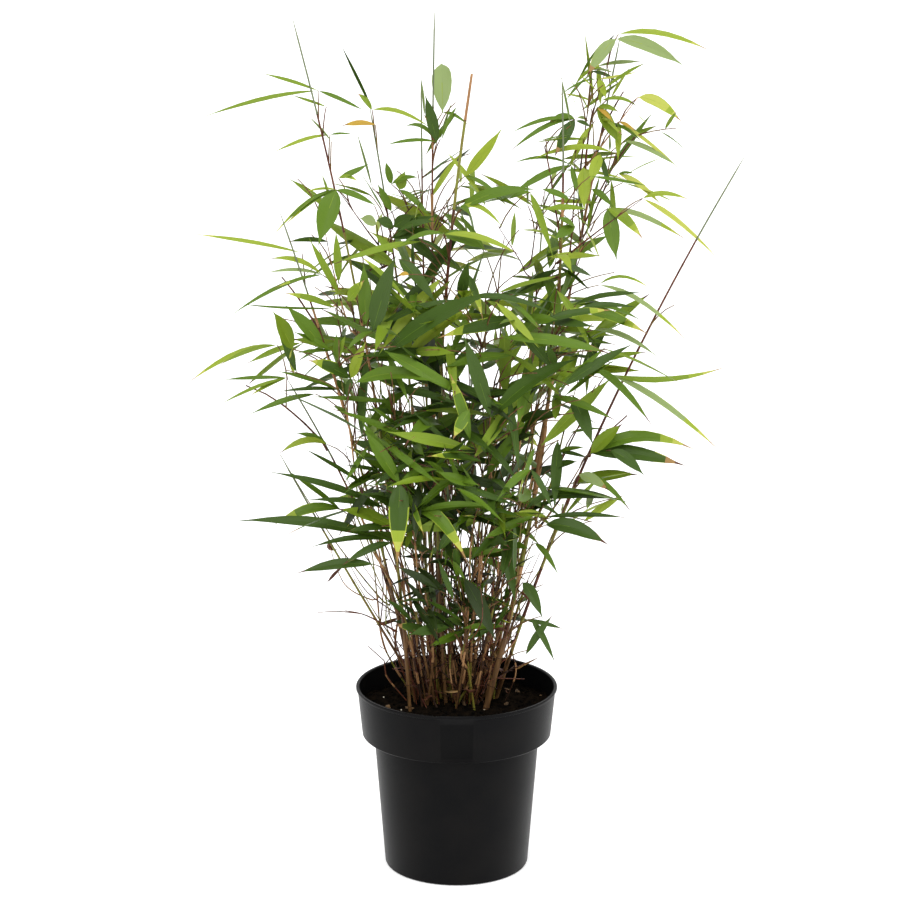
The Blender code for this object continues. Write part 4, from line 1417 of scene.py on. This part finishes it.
def grow_leaf(bm, foot, heading, outward, length, tint, room, chance):
    """Grows one leaf if it stays within the crown and clear of its gaps. Says whether it did."""
    sag = chance.uniform(*(SLIGHT_SAG if chance.random() < SLIGHT_SHARE else DEEP_SAG))
    shoulder = foot + heading * length * 0.5
    fall = (heading * (1 - sag) + DOWN * sag).normalized()
    tip = shoulder + fall * length * 0.5
    middle = arc(foot, shoulder, tip, 0.5)
    if outside(crown_tree, tip) > ROOM_AT_TIP + room or outside(crown_tree, middle) > ROOM_AT_MIDDLE + room:
        return False
    spine = [arc(foot, shoulder, tip, number / PLACES_TESTED) for number in range(1, PLACES_TESTED + 1)]
    if any(in_gap(place) or hides_kept(place) for place in spine):
        return False
    limits = zip(cad_box[0], tip, cad_box[1])
    if any(not low - PAST_BOX < value < high + PAST_BOX for low, value, high in limits):
        return False
    lay_blade(
        bm,
        foot,
        shoulder,
        tip,
        length * chance.uniform(*WIDTH_SHARE) * (TOP_SLIM if foot.z > TOP_FROM_Z else 1),
        leaf_face(heading, outward, chance),
        tint,
        wear=choose(WEAR_MIX, chance),
        fold=FOLD * chance.uniform(*FOLD_RANGE),
        twist=chance.gauss(0, TWIST),
    )
    return True


def neighbour_shade(tint, chance):
    """The same colour, or at times the next lighter or darker one."""
    if tint not in SHADES or chance.random() < SAME_SHADE_SHARE:
        return tint
    place = SHADES.index(tint) + chance.choice((-1, 1))
    return SHADES[min(max(place, 0), len(SHADES) - 1)]


def grow_fan(leaves, fan, heading, outward, mass, tint, chance):
    """Grows a fan of leaves back from the end of a twig, on its two sides by turns."""
    side = side_of(heading)
    rise = side.cross(heading)
    turn = Matrix.Rotation(chance.uniform(-0.95, 0.95), 3, heading)
    for number in range(chance.choice(FAN_SIZES)):
        for _ in range(TRIES):
            spread = math.radians(chance.uniform(0, 24) + 18 * number)
            hand = 1 if number % 2 else -1
            way = Matrix.Rotation(hand * min(spread, 1.6), 3, turn @ rise) @ heading
            way = (way + stray(chance, *LEAF_STRAY)).normalized()
            length = mass.length * chance.uniform(*LENGTH_RANGE)
            foot = fan - heading * FAN_SPACING * number
            shade = neighbour_shade(tint, chance)
            if grow_leaf(leaves, foot, way, outward, length, shade, mass.spill, chance):
                break


def spot_for_spray(name, mass, chance):
    """A free place for a spray in one part of the crown: of those tried, the farthest from the others."""
    low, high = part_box(f"leaves_{name}")
    best = None
    for _ in range(SPOTS_TRIED):
        spot = Vector([chance.uniform(a - mass.spill, b + mass.spill) for a, b in zip(low, high)])
        if outside(mass_tree[name], spot) > mass.spill - SPRAY_SUNK or in_gap(spot):
            continue
        outward = away_from(crown_axis, spot, SIDEWAYS)
        stem = stem_near(spot, outward, chance.uniform(*TWIG_REACHES))
        if stem is None or (spot - stem).length > LONGEST_TWIG:
            continue
        clear = min(((spot - other).length for other in spray_spots), default=1.0)
        if best is None or clear > best[0]:
            best = (clear, spot, outward, stem)
    return best


def finish_foliage(name, leaves, twigs, node):
    bmesh.ops.remove_doubles(leaves, verts=leaves.verts, dist=1e-6)
    close_seams(twigs)
    for piece_name, bm, finishes, slot in (
        (f"foliage_{name}", leaves, leaf_finishes, "foliage"),
        (f"twigs_{name}", twigs, [twig_finish], "cane"),
    ):
        piece = new_object(piece_name, bm, finishes)
        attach(piece, "root")
        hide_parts(node)


kept_strips = []
for fans in showy_fans.values():
    for foot, set_leaves in fans:
        for leaf in set_leaves:
            if leaf.width > SHOWY_WIDTH:
                places = [
                    foot.lerp(leaf.tip, share) + UP * leaf.arch * 4 * share * (1 - share)
                    for share in (0.3, 0.5, 0.7, 0.9)
                ]
                mark_kept(places, leaf.width / 2 + KEPT_MARGIN)
for node, low, high in KEPT_CANES:
    mark_kept([place for place in sunk_line(node)[0] if low < place.z < high], KEPT_MARGIN)
strip_tree = tree_of([place for place, _, _ in kept_strips])
spray_spots = []
for order, (name, mass) in enumerate(MASSES.items()):
    chance = random.Random(GROWTH_SEED + order)
    leaves = bmesh.new()
    leaves.loops.layers.uv.new("UVMap")
    twigs = bmesh.new()
    twigs.loops.layers.uv.new("UVMap")
    for foot, set_leaves in showy_fans.get(name, ()):
        outward = away_from(crown_axis, foot)
        stem = stem_near(foot, outward, 0.03) or foot - UP * 0.02
        grow_twig(twigs, stem, foot, chance)
        for leaf in set_leaves:
            shoulder = foot.lerp(leaf.tip, 0.45) + UP * leaf.arch * 2
            tint, *marks = leaf.look.split("_")
            rolled = next((ROLLED_WIDTHS[mark] for mark in marks if mark in ROLLED_WIDTHS), None)
            slim = 1 if leaf.width > NARROW_WIDTH else NARROW_SLIM
            lay_blade(
                leaves,
                foot,
                shoulder,
                foot.lerp(leaf.tip, TIP_BEYOND),
                rolled or leaf.width * slim,
                SHOWY_FACE,
                tint,
                wear=next((mark for mark in marks if mark in WEAR), None),
                fold=ROLLED_FOLD if rolled else FOLD,
                twist=chance.gauss(0, 0.2),
            )
    for _ in range(mass.sprays):
        found = spot_for_spray(name, mass, chance)
        if found is None:
            continue
        _, spot, outward, stem = found
        spray_spots.append(spot)
        heading = grow_twig(twigs, stem, spot, chance)
        lift = chance.uniform(-0.35, 0.45)
        heading = heading * 0.5 + outward * chance.uniform(0.2, 0.8) + UP * lift
        heading += stray(chance, *HEADING_STRAY)
        heading.normalize()
        grow_fan(leaves, spot, heading, outward, mass, choose(MIXES[mass.mix], chance), chance)
    finish_foliage(name, leaves, twigs, f"leaves_{name}")

# ------------------------------
# The litter. Dead side twigs and withered leaves hang caught between the feet of the canes. They are made
# like the living ones, but shorter, curled and brown.
DEAD_TWIGS = 170
DEAD_TWIG_LENGTHS = (0.012, 0.045)
DEAD_RADII = (0.0006, 0.0005, 0.0003)
DEAD_SIDES = 4
LOW_TWIGS = 0.7  # the share of them that lies near the compost
SCRAPS = 95
LOW_SCRAPS = 0.75
SCRAP_LENGTHS = (0.010, 0.030)
LITTER_TOP_Z = COMPOST_TOP_Z + 0.055
HANGING_TOP_Z = 0.33
litter_chance = random.Random(5)
litter_mesh = bmesh.new()
scrap_mesh = bmesh.new()
scrap_mesh.loops.layers.uv.new("UVMap")
low_places = [place for line in clump_lines for place in line if COMPOST_TOP_Z < place.z < LITTER_TOP_Z]
hanging_places = [place for line in clump_lines for place in line if LITTER_TOP_Z < place.z < HANGING_TOP_Z]


def litter_way(lift):
    """Any way round, and mostly sideways."""
    return (stray(litter_chance, 1, 1, 0.5) + UP * lift).normalized()


for _ in range(DEAD_TWIGS):
    start = litter_chance.choice(low_places if litter_chance.random() < LOW_TWIGS else hanging_places)
    length = litter_chance.uniform(*DEAD_TWIG_LENGTHS)
    lift = litter_chance.choice((0.2, 1.5, 3.0))
    middle = start + litter_way(lift) * length * 0.5
    end = middle + litter_way(0.0) * length * 0.2 + (middle - start)
    roll_tube(litter_mesh, [start, middle, end], DEAD_RADII, DEAD_SIDES, [RING, PURPLE, TAN])
for _ in range(SCRAPS):
    low = litter_chance.random() < LOW_SCRAPS
    start = litter_chance.choice(low_places if low else hanging_places)
    length = litter_chance.uniform(*SCRAP_LENGTHS)
    shoulder = start + litter_way(0.6 if low else -0.6) * length * 0.5
    lay_blade(
        scrap_mesh,
        start,
        shoulder,
        shoulder + litter_way(0.2 if low else -0.8) * length * 0.5,
        length * litter_chance.uniform(0.10, 0.22),
        litter_way(0.3),
        litter_chance.choice(("brown", "brown", "brown", "straw")),
        fold=FOLD * litter_chance.uniform(1, 4),
        twist=litter_chance.gauss(0, 1.2),
    )
finish_cane("dead_twigs", litter_mesh, None)
bmesh.ops.remove_doubles(scrap_mesh, verts=scrap_mesh.verts, dist=1e-6)
scraps = new_object("dead_leaves", scrap_mesh, leaf_finishes)
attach(scraps, "root")
